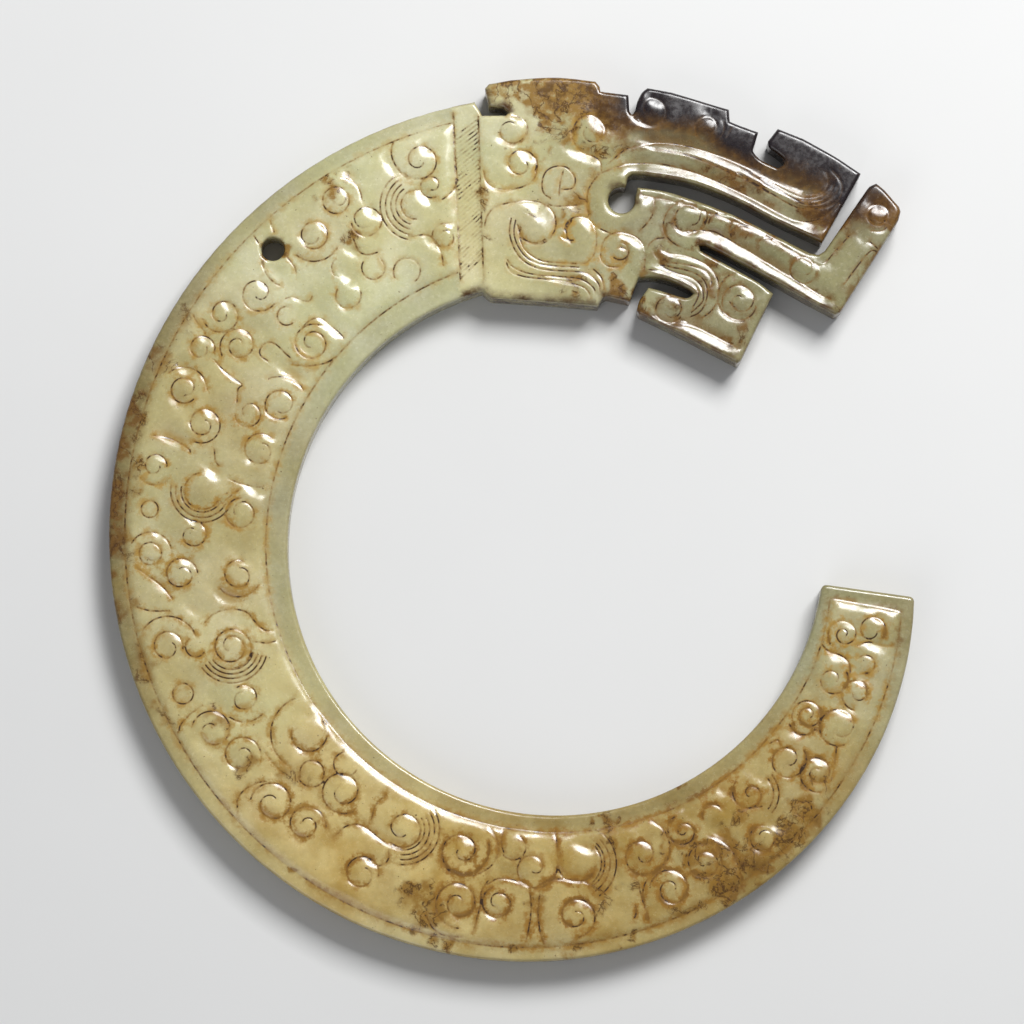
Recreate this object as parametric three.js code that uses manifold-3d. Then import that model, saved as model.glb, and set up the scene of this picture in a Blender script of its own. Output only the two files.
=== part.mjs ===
// Jade dragon pendant: a flat C-shaped dragon cut from one plate of jade, carved in low relief.
// Layout frame: millimetres, origin at the centre of the ring's inner circle, +X right and +Y up as
// the carved front is seen, +Z out of the front. Angles are degrees, counter-clockwise from +X.
import * as THREE from 'three';
import { mergeVertices } from 'three/addons/utils/BufferGeometryUtils.js';
import Module from 'manifold-3d';

const wasm = await Module();
wasm.setup();

// Ring: round inside, its outside tapering from the neck to the tail.
const INNER_RADIUS = 30;
const NECK_OUTER_RADIUS = 51.1;
const TAIL_OUTER_RADIUS = 40.5;
const TAPER_START = 105;
const TAPER_END = 351;
const TAPER_POWER = 1.88;
const COLLAR_TOP_ANGLE = 100.3;
const THROAT_ANGLE = 106;
const TAIL_ANGLE = 352;
const TAIL_CORNER = 0.7;
const RING_FACET_ANGLE = 6;

// Plate and relief heights.
const PLATE_THICKNESS = 4.4;
const EDGE_BEVEL = 0.35;
const FIELD_RISE = 0.2;
const FIELD_SLOPE = 0.3;
const DOME_RISE = 0.5;
const RIDGE_RISE = 0.35;
const ROOT_DEPTH = 0.4;

// Plain borders that frame the carved field of the body.
const INNER_BORDER_NECK = 2.8;
const INNER_BORDER_TAIL = 1.4;
const OUTER_BORDER = 1.75;
const FIELD_START = 103.6;
const FIELD_START_INSIDE = 109.6;
const FIELD_END = 349.3;

// Drilled hole from which the pendant hangs.
const HOLE_ANGLE = 133.45;
const HOLE_OUT = 16.2;
const HOLE_DIAMETER = 2.6;
const HOLE_SIDES = 16;

// Incised line and dome facets.
const GROOVE_HALF_WIDTH = 0.28;
const GROOVE_DEPTH = 0.26;
const GROOVE_STEPS = 4;
const GROOVE_TURN = 200;
const GROOVE_MIN_SWEEP = 300;
const DOME_SIDES = 9;
const DOME_SHOULDER = [0.7, 0.66];

// Drilled corner of the mouth.
const MOUTH_CORNER = [7.4, 39.1];
const MOUTH_CORNER_RADIUS = 1.5;
const MOUTH_RING_RADIUS = 2.7;
const MOUTH_RING_HALF_WIDTH = 0.8;
const MOUTH_RING_START = -20;
const MOUTH_RING_SWEEP = -255;
const MOUTH_FACETS = 10;

// Rope-like collar between the head and the body: its two long sides, top to bottom.
const COLLAR_BODY_SIDE = [[-11.6, 49.0], [-10.7, 29.9]];
const COLLAR_HEAD_SIDE = [[-8.7, 48.6], [-8.1, 30.0]];
const COLLAR_RISE = 0.25;
const COLLAR_SLOPE = 0.2;
const COLLAR_STROKES = 14;
const COLLAR_STROKE_SLANT = 0.12;

const radians = THREE.MathUtils.degToRad;
const point = ([x, y]) => new THREE.Vector2(x, y);
const smooth = (points, steps) => new THREE.SplineCurve(points.map(point)).getPoints(steps);
const straight = (points) => points.map(point);

function outerRadius(angle) {
  const along = THREE.MathUtils.clamp((angle - TAPER_START) / (TAPER_END - TAPER_START), 0, 1);
  return THREE.MathUtils.lerp(NECK_OUTER_RADIUS, TAIL_OUTER_RADIUS, along ** TAPER_POWER);
}

function innerBorder(angle) {
  const along = (angle - FIELD_START_INSIDE) / (FIELD_END - FIELD_START_INSIDE);
  return THREE.MathUtils.lerp(INNER_BORDER_NECK, INNER_BORDER_TAIL, along);
}

function polar(angle, radius) {
  return new THREE.Vector2(Math.cos(radians(angle)), Math.sin(radians(angle))).multiplyScalar(radius);
}

// A run of ring points from one angle to another, at the radius that a function gives.
function ringRun(from, to, radiusAt) {
  const steps = Math.round(Math.abs(to - from) / RING_FACET_ANGLE);
  return Array.from({ length: steps + 1 }, (_, i) => {
    const angle = THREE.MathUtils.lerp(from, to, i / steps);
    return polar(angle, radiusAt(angle));
  });
}

function arcRun([x, y], radius, start, sweep, steps) {
  const curve = new THREE.EllipseCurve(
    x, y, radius, radius, radians(start), radians(start + sweep), sweep < 0);
  return curve.getPoints(steps);
}

// The head in profile, clockwise from the top of the collar: three crest flanges cut apart by notches,
// the snout, the open mouth, the turned-up jaw, the beard and the throat.
const crestFirst = [
  ...straight([[-8.65, 49.4], [-8.3, 48.7], [-5.6, 48.7], [-5.25, 49.05], [-5.9, 49.65]]),
  ...straight([[-7.5, 49.75], [-7.95, 51.8], [-7.5, 52.3]]),
  ...smooth([[-5, 52.75], [0, 53.05], [4.5, 52.6]], 5),
  ...straight([[4.95, 52.0], [5.05, 51.45], [8.2, 51.05]]),
];
const crestSecond = [
  ...smooth([[8.3, 49.2], [8.6, 48.85], [8.95, 49.2]], 4),
  ...smooth([[9.2, 50.3], [9.7, 51.3], [10.35, 51.85]], 3),
  ...smooth([[13, 51.35], [16, 50.45], [19.5, 49.4]], 3),
  ...straight([[19.6, 48.0], [20.2, 47.75], [22.8, 46.8]]),
];
const crestThird = [
  ...smooth([[22.3, 45.2], [22.25, 44.6], [23.2, 43.6], [25.0, 42.75]], 5),
  ...smooth([[25.6, 43.1], [25.7, 43.7], [25.0, 44.4]], 3),
  ...straight([[24.0, 45.1], [23.9, 45.8], [25.0, 47.2]]),
  ...smooth([[28, 46], [31.5, 44], [34.3, 42.1]], 3),
];
const mouth = [
  ...smooth([[29.9, 34.3], [25, 36.6], [20, 39.2], [15, 41.1], [10, 42.0]], 9),
  ...smooth([[8.6, 42.05], [8.1, 41.6], [7.95, 40.9]], 3),
  ...arcRun(MOUTH_CORNER, MOUTH_CORNER_RADIUS, 75, 285, MOUTH_FACETS),
  ...smooth([[9.2, 40.55], [12, 40.2], [15, 39.3], [20, 37.4], [25, 34.9], [28.5, 33.1]], 9),
  ...straight([[29.5, 32.9], [30.2, 33.3]]),
];
const jaw = [
  ...straight([[35.0, 40.3], [35.3, 40.65], [36.05, 41.0], [37, 40.2], [38.6, 38.3], [38.75, 37.8]]),
  ...straight([[38.5, 36.8], [31.9, 26.4], [31.3, 26.15]]),
  ...smooth([[28, 27.9], [22, 31.3], [18, 33.4], [16.8, 34.0]], 5),
  ...straight([[16.1, 33.95], [16.2, 33.4]]),
  ...smooth([[18, 32.4], [21.5, 30.5], [23, 29.6], [24.4, 28.5]], 4),
];
const beard = [
  ...straight([[20.7, 20.9], [20.3, 20.65]]),
  ...smooth([[15, 23.4], [12, 24.9], [9.3, 26.2]], 2),
  ...smooth([[9.1, 26.65], [9.4, 27.7], [10.4, 29.2]], 3),
  ...smooth([[12.5, 28.6], [14.6, 28.0], [15.5, 28.5]], 4),
  ...smooth([[15.0, 28.95], [13, 29.9], [11, 30.35], [9.3, 30.25]], 4),
];
const throat = [
  ...straight([[8.9, 29.3], [8.3, 27.65], [5.7, 28.2], [5.25, 28.0], [4.7, 27.1]]),
  ...smooth([[0, 27.5], [-4, 27.8], [-7.3, 28.0]], 2),
  ...straight([[-7.9, 28.5]]),
];

// Curls of the body, one a row: angle round the ring, distance out from the inner circle, the incised
// spiral's radius at its start and end, the direction of its start and how far it turns.
const bodyCurls = [
  [109.7, 7.2, 1.2, 1.4, 330, -260],
  [112.2, 11.6, 1.6, 1.7, 272, -200],
  [109.0, 13.0, 1.0, 1.35, 39, 260],
  [109.3, 16.2, 1.2, 2.3, 199, -340],
  [120.0, 12.4, 1.5, 1.75, 160, -330],
  [122.3, 16.2, 1.5, 1.5, 60, 330],
  [129.5, 6.65, 1.35, 1.5, 150, 230],
  [127.7, 14.4, 1.4, 1.6, 200, -330],
  [140.0, 5.6, 1.2, 2.2, 120, -420],
  [139.5, 13.9, 1.1, 2.2, 0, 330],
  [152.8, 4.8, 1.6, 1.6, 20, 280],
  [156.6, 7.5, 1.3, 1.5, 60, -240],
  [161.7, 4.9, 1.6, 1.75, 300, -260],
  [147.5, 12.1, 1.0, 2.2, 150, 420],
  [145.0, 15.6, 0.95, 2.3, 230, -400],
  [150.6, 15.5, 1.2, 1.45, 230, -250],
  [157.1, 15.2, 1.35, 1.5, 45, 270],
  [160.8, 11.8, 1.1, 2.2, 300, -420],
  [174.0, 5.4, 1.4, 1.75, 70, -340],
  [171.0, 10.0, 2.0, 2.1, 100, 230],
  [168.5, 15.7, 1.1, 1.3, 230, -240],
  [178.0, 10.5, 1.3, 1.5, 210, 250],
  [184.9, 5.6, 1.5, 1.5, 310, -240],
  [184.2, 12.0, 1.3, 1.9, 340, -340],
  [181.0, 15.3, 1.25, 1.25, 0, 350],
  [194.4, 14.7, 1.4, 1.7, 270, -280],
  [195.6, 11.7, 1.15, 1.15, 130, 200],
  [197.3, 7.9, 1.2, 2.4, 110, -560],
  [205.9, 8.6, 1.35, 1.35, 230, 260],
  [208.3, 13.4, 1.3, 2.4, 190, 340],
  [213.6, 12.1, 1.2, 2.3, 0, -380],
  [217.2, 4.6, 1.9, 2.1, 170, 230],
  [222.9, 7.1, 1.35, 1.35, 200, -230],
  [229.0, 6.2, 1.4, 2.6, 270, 390],
  [222.3, 12.6, 1.4, 2.5, 180, 350],
  [228.1, 11.7, 1.1, 2.3, 10, -380],
  [239.3, 12.3, 1.5, 1.9, 290, -300],
  [241.8, 5.8, 1.5, 2.1, 165, -300],
  [252.9, 5.55, 1.1, 3.1, 290, 450],
  [254.7, 11.2, 1.0, 2.8, 130, 500],
  [260.8, 10.3, 1.1, 1.9, 110, -360],
  [261.9, 3.9, 1.4, 1.4, 220, 200],
  [266.0, 5.95, 1.0, 2.7, 10, 370],
  [273.7, 5.4, 2.1, 2.1, 150, 200],
  [285.6, 5.75, 0.9, 2.6, 300, 420],
  [273.0, 11.2, 1.0, 2.4, 330, -410],
  [288.5, 10.3, 1.0, 2.4, 120, 410],
  [294.0, 4.8, 0.6, 1.9, 190, -430],
  [295.2, 8.9, 1.0, 2.2, 130, -420],
  [300.2, 4.7, 1.2, 1.2, 200, -160],
  [308.0, 5.05, 0.5, 2.1, 170, -390],
  [305.2, 9.85, 1.3, 1.5, 10, -280],
  [317.1, 5.1, 1.3, 2.2, 50, 340],
  [319.0, 8.5, 0.9, 2.2, 200, 440],
  [326.1, 3.85, 0.8, 1.9, 80, 500],
  [327.2, 7.3, 1.9, 2.1, 20, 270],
  [334.1, 4.25, 1.1, 1.8, 100, 290],
  [333.9, 7.3, 1.0, 1.9, 320, 300],
  [339.1, 6.95, 1.0, 1.0, 130, -230],
  [343.0, 3.6, 0.6, 1.9, 100, 480],
  [345.2, 6.5, 1.3, 1.5, 210, -260],
];

// Curls of the head, one a row: centre, then the same four values.
const headCurls = [
  [-4.8, 47.1, 1.55, 1.55, 200, 260],
  [-3.9, 43.2, 1.2, 1.8, 270, -300],
  [3.9, 47.0, 1.5, 1.9, 300, 260],
  [0.9, 41.3, 1.1, 2.2, 280, 300],
  [-2.5, 36.0, 1.6, 3.1, 195, 270],
  [2.8, 35.3, 1.2, 3.0, 225, -330],
  [7.2, 33.3, 0.8, 2.6, 60, -430],
  [10.8, 49.4, 1.1, 1.8, 100, -270],
  [17.2, 47.4, 0.9, 2.1, 0, 380],
  [14.9, 36.9, 1.4, 2.2, 330, 300],
  [20.7, 27.7, 1.0, 2.3, 200, 430],
  [12.7, 26.8, 1.4, 1.4, 0, 300],
  [36.2, 37.3, 1.2, 1.2, 0, 300],
  [20.6, 35.6, 1.3, 1.3, 0, 200],
  [23.6, 34.0, 1.2, 1.2, 0, 200],
  [27.8, 31.6, 1.3, 1.3, 0, 200],
];

// Raised ribs of the head: upper lip, brow, jaw, jaw tip and beard edge.
const headRibs = [
  [[8.5, 43.0], [15, 41.9], [20, 39.9], [25, 37.3], [28.5, 35.7]],
  [[6.2, 43.2], [8, 44.8], [11, 45.3], [15, 44.8], [20, 43], [27, 39.5]],
  [[17.3, 35.0], [20, 33.8], [25, 30.8], [30.3, 27.6]],
  [[31.4, 28.0], [36.8, 36.4]],
  [[12, 25.5], [19.9, 21.6]],
];

// A closed three.js geometry becomes a solid once its shared corners are joined.
function solid(geometry) {
  geometry.deleteAttribute('normal');
  geometry.deleteAttribute('uv');
  const merged = mergeVertices(geometry, 1e-4);
  const corners = merged.index.array;
  const kept = [];
  for (let i = 0; i < corners.length; i += 3) {
    const [a, b, c] = corners.slice(i, i + 3);
    if (a !== b && b !== c && c !== a) kept.push(a, b, c);
  }
  return new wasm.Manifold(new wasm.Mesh({
    numProp: 3,
    vertProperties: new Float32Array(merged.attributes.position.array),
    triVerts: new Uint32Array(kept),
  }));
}

// A plate of an outline with both its edges sloped in by the bevel.
function slab(outline, holes, low, high, bevel, slope) {
  const shape = new THREE.Shape(outline);
  shape.holes = holes.map((hole) => new THREE.Path(hole));
  const geometry = new THREE.ExtrudeGeometry(shape, {
    depth: high - low - 2 * bevel,
    bevelThickness: bevel,
    bevelSize: slope,
    bevelOffset: -slope,
    bevelSegments: 1,
  });
  return solid(geometry.translate(0, 0, low + bevel));
}

// A bar along a flat curve at one height, with a diamond section: a rib when joined, a groove when cut.
function bar(points, height, halfWidth, halfHeight, steps) {
  const path = new THREE.CatmullRomCurve3(points.map((p) => new THREE.Vector3(p.x, p.y, height)));
  const section = new THREE.Shape(straight(
    [[halfHeight, 0], [0, halfWidth], [-halfHeight, 0], [0, -halfWidth]]));
  return solid(new THREE.ExtrudeGeometry(section, { steps, extrudePath: path }));
}

function dome(centre, radius, ground, rise) {
  const [shoulderOut, shoulderUp] = DOME_SHOULDER;
  const shoulder = [shoulderOut * radius, shoulderUp * rise];
  const profile = straight([[0, -ROOT_DEPTH], [radius, -ROOT_DEPTH], [radius, 0], shoulder, [0, rise]]);
  const geometry = new THREE.LatheGeometry(profile, DOME_SIDES);
  return solid(geometry.rotateX(Math.PI / 2).translate(centre.x, centre.y, ground));
}

// One curl: a dome, and round it the outer turn of its spiral as an incised line where it turns that far.
function curl(centre, ground, [startRadius, endRadius, start, sweep]) {
  const turns = Math.abs(sweep);
  const line = Array.from({ length: GROOVE_STEPS + 1 }, (_, i) => {
    const along = 1 - (GROOVE_TURN / turns) * (1 - i / GROOVE_STEPS);
    return polar(start + sweep * along, THREE.MathUtils.lerp(startRadius, endRadius, along)).add(centre);
  });
  const lined = turns >= GROOVE_MIN_SWEEP;
  const domeRadius = (lined ? line[0].distanceTo(centre) : startRadius) - GROOVE_HALF_WIDTH;
  return {
    raised: dome(centre, domeRadius, ground, DOME_RISE),
    incised: lined ? [bar(line, ground, GROOVE_HALF_WIDTH, GROOVE_DEPTH, GROOVE_STEPS)] : [],
  };
}

function plate() {
  const outline = [
    ...crestFirst, ...crestSecond, ...crestThird, ...mouth, ...jaw, ...beard, ...throat,
    ...ringRun(THROAT_ANGLE, TAIL_ANGLE - 1, () => INNER_RADIUS),
    polar(TAIL_ANGLE, INNER_RADIUS + TAIL_CORNER),
    polar(TAIL_ANGLE, TAIL_OUTER_RADIUS - TAIL_CORNER),
    ...ringRun(TAPER_END, COLLAR_TOP_ANGLE, outerRadius),
  ];
  const holeCentre = polar(HOLE_ANGLE, INNER_RADIUS + HOLE_OUT);
  const hole = arcRun(holeCentre.toArray(), HOLE_DIAMETER / 2, 0, 360, HOLE_SIDES).slice(1);
  return { outline, hole };
}

function field() {
  return [
    ...ringRun(FIELD_START_INSIDE, FIELD_END, (angle) => INNER_RADIUS + innerBorder(angle)),
    ...ringRun(FIELD_END, FIELD_START, (angle) => outerRadius(angle) - OUTER_BORDER),
  ];
}

function collar() {
  const [bodyTop, bodyFoot] = straight(COLLAR_BODY_SIDE);
  const [headTop, headFoot] = straight(COLLAR_HEAD_SIDE);
  const top = PLATE_THICKNESS + COLLAR_RISE;
  const sides = [bodyTop, bodyFoot, headFoot, headTop];
  const band = slab(sides, [], EDGE_BEVEL, top, COLLAR_SLOPE, COLLAR_SLOPE);
  const strokes = Array.from({ length: COLLAR_STROKES }, (_, i) => {
    const high = (1 - COLLAR_STROKE_SLANT) * (i + 0.5) / COLLAR_STROKES;
    const left = bodyTop.clone().lerp(bodyFoot, high + COLLAR_STROKE_SLANT);
    const right = headTop.clone().lerp(headFoot, high);
    return bar([left, right], top, GROOVE_HALF_WIDTH, GROOVE_DEPTH, 1);
  });
  return { band, strokes };
}

function pendant() {
  const { outline, hole } = plate();
  const fieldTop = PLATE_THICKNESS + FIELD_RISE;
  const body = slab(outline, [hole], 0, PLATE_THICKNESS, EDGE_BEVEL, EDGE_BEVEL);
  const carvedField = slab(field(), [hole], EDGE_BEVEL, fieldTop, FIELD_RISE, FIELD_SLOPE);
  const { band, strokes } = collar();
  const curls = [
    ...bodyCurls.map(([angle, out, ...turn]) => curl(polar(angle, INNER_RADIUS + out), fieldTop, turn)),
    ...headCurls.map(([x, y, ...turn]) => curl(point([x, y]), PLATE_THICKNESS, turn)),
  ];
  const ribs = headRibs.map((line) =>
    bar(straight(line), PLATE_THICKNESS, 2 * RIDGE_RISE, RIDGE_RISE, 2 * line.length));
  const ringLine = arcRun(
    MOUTH_CORNER, MOUTH_RING_RADIUS, MOUTH_RING_START, MOUTH_RING_SWEEP, MOUTH_FACETS);
  const mouthRing = bar(ringLine, PLATE_THICKNESS, MOUTH_RING_HALF_WIDTH, RIDGE_RISE, MOUTH_FACETS);
  const raised = wasm.Manifold.union(
    [body, carvedField, band, mouthRing, ...ribs, ...curls.map((one) => one.raised)]);
  const incised = wasm.Manifold.union([...strokes, ...curls.flatMap((one) => one.incised)]);
  return raised.subtract(incised);
}

// Stood on the middle of its underside: the back lies on Z = 0.
function placed(manifold) {
  const { vertProperties, triVerts } = manifold.getMesh();
  const geometry = new THREE.BufferGeometry();
  geometry.setAttribute('position', new THREE.BufferAttribute(vertProperties, 3));
  geometry.setIndex(new THREE.BufferAttribute(triVerts, 1));
  geometry.computeBoundingBox();
  const middle = geometry.boundingBox.getCenter(new THREE.Vector3());
  return geometry.translate(-middle.x, -middle.y, 0);
}

const jade = new THREE.MeshStandardMaterial({ color: 0xb9b98c, roughness: 0.25, metalness: 0 });
const group = new THREE.Group();
const mesh = new THREE.Mesh(placed(pendant()), jade);
mesh.name = 'dragon_pendant';
group.add(mesh);

export default group;
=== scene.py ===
import math

import bpy
import numpy as np
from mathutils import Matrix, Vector, kdtree
from mathutils.geometry import delaunay_2d_cdt


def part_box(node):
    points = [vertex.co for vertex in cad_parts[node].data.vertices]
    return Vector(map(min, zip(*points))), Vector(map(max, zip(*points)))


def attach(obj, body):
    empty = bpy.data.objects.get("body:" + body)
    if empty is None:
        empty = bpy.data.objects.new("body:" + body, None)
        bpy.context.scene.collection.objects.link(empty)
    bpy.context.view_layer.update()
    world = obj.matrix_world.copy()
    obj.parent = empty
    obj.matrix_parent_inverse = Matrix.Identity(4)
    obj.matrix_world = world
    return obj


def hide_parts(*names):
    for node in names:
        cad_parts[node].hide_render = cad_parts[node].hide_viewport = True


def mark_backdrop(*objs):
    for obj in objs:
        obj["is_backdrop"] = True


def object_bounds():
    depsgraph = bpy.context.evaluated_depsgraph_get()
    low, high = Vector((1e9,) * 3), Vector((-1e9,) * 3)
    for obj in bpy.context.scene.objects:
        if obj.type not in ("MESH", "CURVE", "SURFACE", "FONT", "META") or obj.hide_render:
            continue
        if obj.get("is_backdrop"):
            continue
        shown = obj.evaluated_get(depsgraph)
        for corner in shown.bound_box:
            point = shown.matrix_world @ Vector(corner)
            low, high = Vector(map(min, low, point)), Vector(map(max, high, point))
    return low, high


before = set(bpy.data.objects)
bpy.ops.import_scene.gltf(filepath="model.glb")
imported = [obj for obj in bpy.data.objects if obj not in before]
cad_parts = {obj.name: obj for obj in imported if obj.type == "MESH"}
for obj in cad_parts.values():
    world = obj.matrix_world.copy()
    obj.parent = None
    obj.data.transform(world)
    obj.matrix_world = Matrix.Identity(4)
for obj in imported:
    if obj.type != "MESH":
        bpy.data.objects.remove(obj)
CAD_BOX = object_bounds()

# Jade dragon pendant: the carved relief, the stone and the studio.
# Layout frame: millimetres, origin at the centre of the ring's inner circle, +X right and +Y up as the
# carved front is seen, +Z out of the front. Angles are degrees, counter-clockwise from +X.
MM = 0.001
SEED = 7
WANDER_SEED, STAIN_SEEDS, CREST_SEED = SEED + 20, (SEED + 40, SEED + 47), SEED + 60
WARM_SEED, LIGHT_SEED = SEED + 80, SEED + 90

# Ring: round inside, its outside tapering from the neck to the tail.
INNER_RADIUS = 30.0
NECK_OUTER_RADIUS = 51.1
TAIL_OUTER_RADIUS = 40.5
TAPER_START, TAPER_END, TAPER_POWER = 105.0, 351.0, 1.88
COLLAR_TOP_ANGLE = 100.3
THROAT_ANGLE = 106.0
TAIL_ANGLE = 352.0
TAIL_CORNER = 0.7

# Plain borders that frame the carved field of the body: distance in from the rim, by angle.
INNER_BORDER_ANGLES = [110, 150, 190, 255, 300, 335, 348]
INNER_BORDER_WIDTHS = [2.8, 2.5, 2.4, 1.9, 2.0, 1.7, 1.2]
OUTER_BORDER_ANGLES = [104, 200, 260, 320, 348]
OUTER_BORDER_WIDTHS = [1.8, 1.8, 1.55, 1.6, 1.4]
FIELD_START, FIELD_START_INSIDE, FIELD_END = 103.6, 109.6, 349.3

# Drilled hole from which the pendant hangs, and the drilled corner of the mouth.
HOLE_ANGLE, HOLE_OUT, HOLE_RADIUS = 133.45, 16.2, 1.3
MOUTH_CORNER, MOUTH_CORNER_RADIUS, MOUTH_CORNER_ENDS = (7.4, 39.1), 1.5, (75, 360)

# Rope-like collar between the head and the body: its two long sides, top to bottom.
COLLAR_BODY_SIDE = [(-11.6, 49.0), (-10.7, 29.9)]
COLLAR_HEAD_SIDE = [(-8.7, 48.6), (-8.1, 30.0)]
COLLAR_STROKES = 32
COLLAR_SLANT = 0.13
STROKE_ENDS = (0.08, 0.92)
COLLAR_EASE = (-0.1, 0.2)
# The head is what lies right of the collar and above this height.
HEAD_LOW = 18.0

# Heights of the relief.
BORDER_CROWN, COLLAR_CROWN, FIELD_CROWN, TOP_LIMIT = 4.42, 4.52, 4.78, 5.08
BORDER_EDGE, BORDER_EDGE_REACH, BORDER_VALLEY = 0.3, 0.9, 0.05
FIELD_EASE, INSIDE_BLEND = 0.3, 1.2
SEAM_VALLEY, SEAM_REACH = 0.13, 0.6
CURL_VALLEY, CURL_REACH = 0.08, 0.6
HEAD_VALLEY, HEAD_REACH = 0.2, 0.65
SHOULDER_FOOT, SHOULDER_SLOPE, SHOULDER_FAR = 0.5, 0.38, 2.4
SHOULDER_FACING, SHOULDER_TURN = 57.0, 0.7
SHOULDER_TAPER, SHOULDER_END = 0.9, 0.65
MOUND_RISE, MOUND_FOOT, MOUND_SHOULDER = 0.1, 2.0, 0.5
DOME_RISE, DOME_SPREAD = 0.13, 0.5
WANDER, WANDER_SIZE, WANDER_OCTAVES = 0.05, 6.0, 2
SMOOTHED, SMOOTHING_CELLS = 0.25, 6
RELIEF_STEP, RELIEF_MARGIN = 0.17, 1.0
MAIN_GROOVE, FINE_GROOVE, COLLAR_GROOVE, GROOVE_WIDTH = 0.045, 0.05, 0.03, 0.09
EDGE_ROUND, EDGE_WEAR, WEAR_SIZE = 0.42, 0.35, 2.5
BACK_EDGE_ROUND = 0.35
BACK_SUNK, BACK_VALLEY, BACK_REACH, BACK_GROOVE = 0.12, 0.12, 0.6, 0.08

# Mesh steps.
OUTLINE_STEP = 0.3
LINE_STEP = 0.13
MESH_EVERY = 2
SIDE_ROWS = (0.16, 0.4)
EDGE_ROWS = (0.05, 0.14, 0.28, 0.44)
FILL_STEP, FILL_ROW_SHARE = 0.46, 0.866
SIDE_CLEAR, EDGE_CLEAR = 0.86, 0.9
BACK_EVERY = 4
BACK_SIDE_ROWS = (0.24,)
BACK_FILL_STEP = 0.9
WALL_ROWS = 5
HOLE_POINTS = 40
CURVE_STEPS, CORNER_STEPS, BORDER_STEPS = 24, 6, 1700
ARC_LEAST, SPIRAL_LEAST = 4, 6
TINY = 1e-6


def polar(angle, radius):
    turned = np.radians(angle)
    return np.stack([radius * np.cos(turned), radius * np.sin(turned)], axis=-1)


def resample(points, step):
    """Points evenly spaced along an open line."""
    points = np.asarray(points, float)
    along = np.concatenate([[0.0], np.cumsum(np.hypot(*np.diff(points, axis=0).T))])
    places = np.linspace(0, along[-1], max(1, round(along[-1] / step)) + 1)
    return np.stack([np.interp(places, along, points[:, axis]) for axis in (0, 1)], axis=-1)


def smooth(points):
    """A line that bends smoothly through its points."""
    p = np.asarray(points, float)
    p = np.vstack([p[0], p, p[-1]])
    t = np.linspace(0, 1, CURVE_STEPS, endpoint=False)[:, None]
    runs = []
    for a, b, c, d in zip(p, p[1:], p[2:], p[3:]):
        leave, arrive = (c - a) / 2, (d - b) / 2
        runs.append((2 * b - 2 * c + leave + arrive) * t ** 3
                    + (3 * c - 3 * b - 2 * leave - arrive) * t ** 2 + leave * t + b)
    return resample(np.vstack(runs + [p[-1:]]), LINE_STEP)


def arc(centre, radius, start, end):
    count = max(ARC_LEAST, round(radius * abs(math.radians(end - start)) / LINE_STEP))
    return np.asarray(centre) + polar(np.linspace(start, end, count + 1), radius)


def spiral(centre, start_radius, end_radius, start, sweep):
    length = abs(math.radians(sweep)) * (start_radius + end_radius) / 2
    along = np.linspace(0, 1, max(SPIRAL_LEAST, round(length / LINE_STEP)) + 1)
    radii = start_radius + (end_radius - start_radius) * along
    return np.asarray(centre) + polar(start + sweep * along, radii)


def hook(centre, start_radius, _, start, sweep):
    """The inner end of a curl's line, turning in over its dome."""
    back = math.copysign(HOOK_TURN, sweep)
    return spiral(centre, HOOK_SHARE * start_radius, start_radius, start - back, back)[:-1]


def inner_radius(angle):
    return np.full_like(angle, INNER_RADIUS)


def outer_radius(angle):
    along = np.clip((np.asarray(angle) - TAPER_START) / (TAPER_END - TAPER_START), 0, 1)
    return NECK_OUTER_RADIUS + (TAIL_OUTER_RADIUS - NECK_OUTER_RADIUS) * along ** TAPER_POWER


def inner_border(angle):
    return INNER_RADIUS + np.interp(angle, INNER_BORDER_ANGLES, INNER_BORDER_WIDTHS)


def outer_border(angle):
    return outer_radius(angle) - np.interp(angle, OUTER_BORDER_ANGLES, OUTER_BORDER_WIDTHS)


def ring_run(start, end, radius_at):
    """A run of the ring's rim, in steps as long as the outline's."""
    middle_radius = radius_at(np.array([(start + end) / 2]))[0]
    count = round(abs(math.radians(end - start)) * middle_radius / OUTLINE_STEP)
    angles = np.linspace(start, end, count + 1)
    return polar(angles, radius_at(angles))


def on_body(angle, out):
    return polar(angle, INNER_RADIUS + out)


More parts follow.
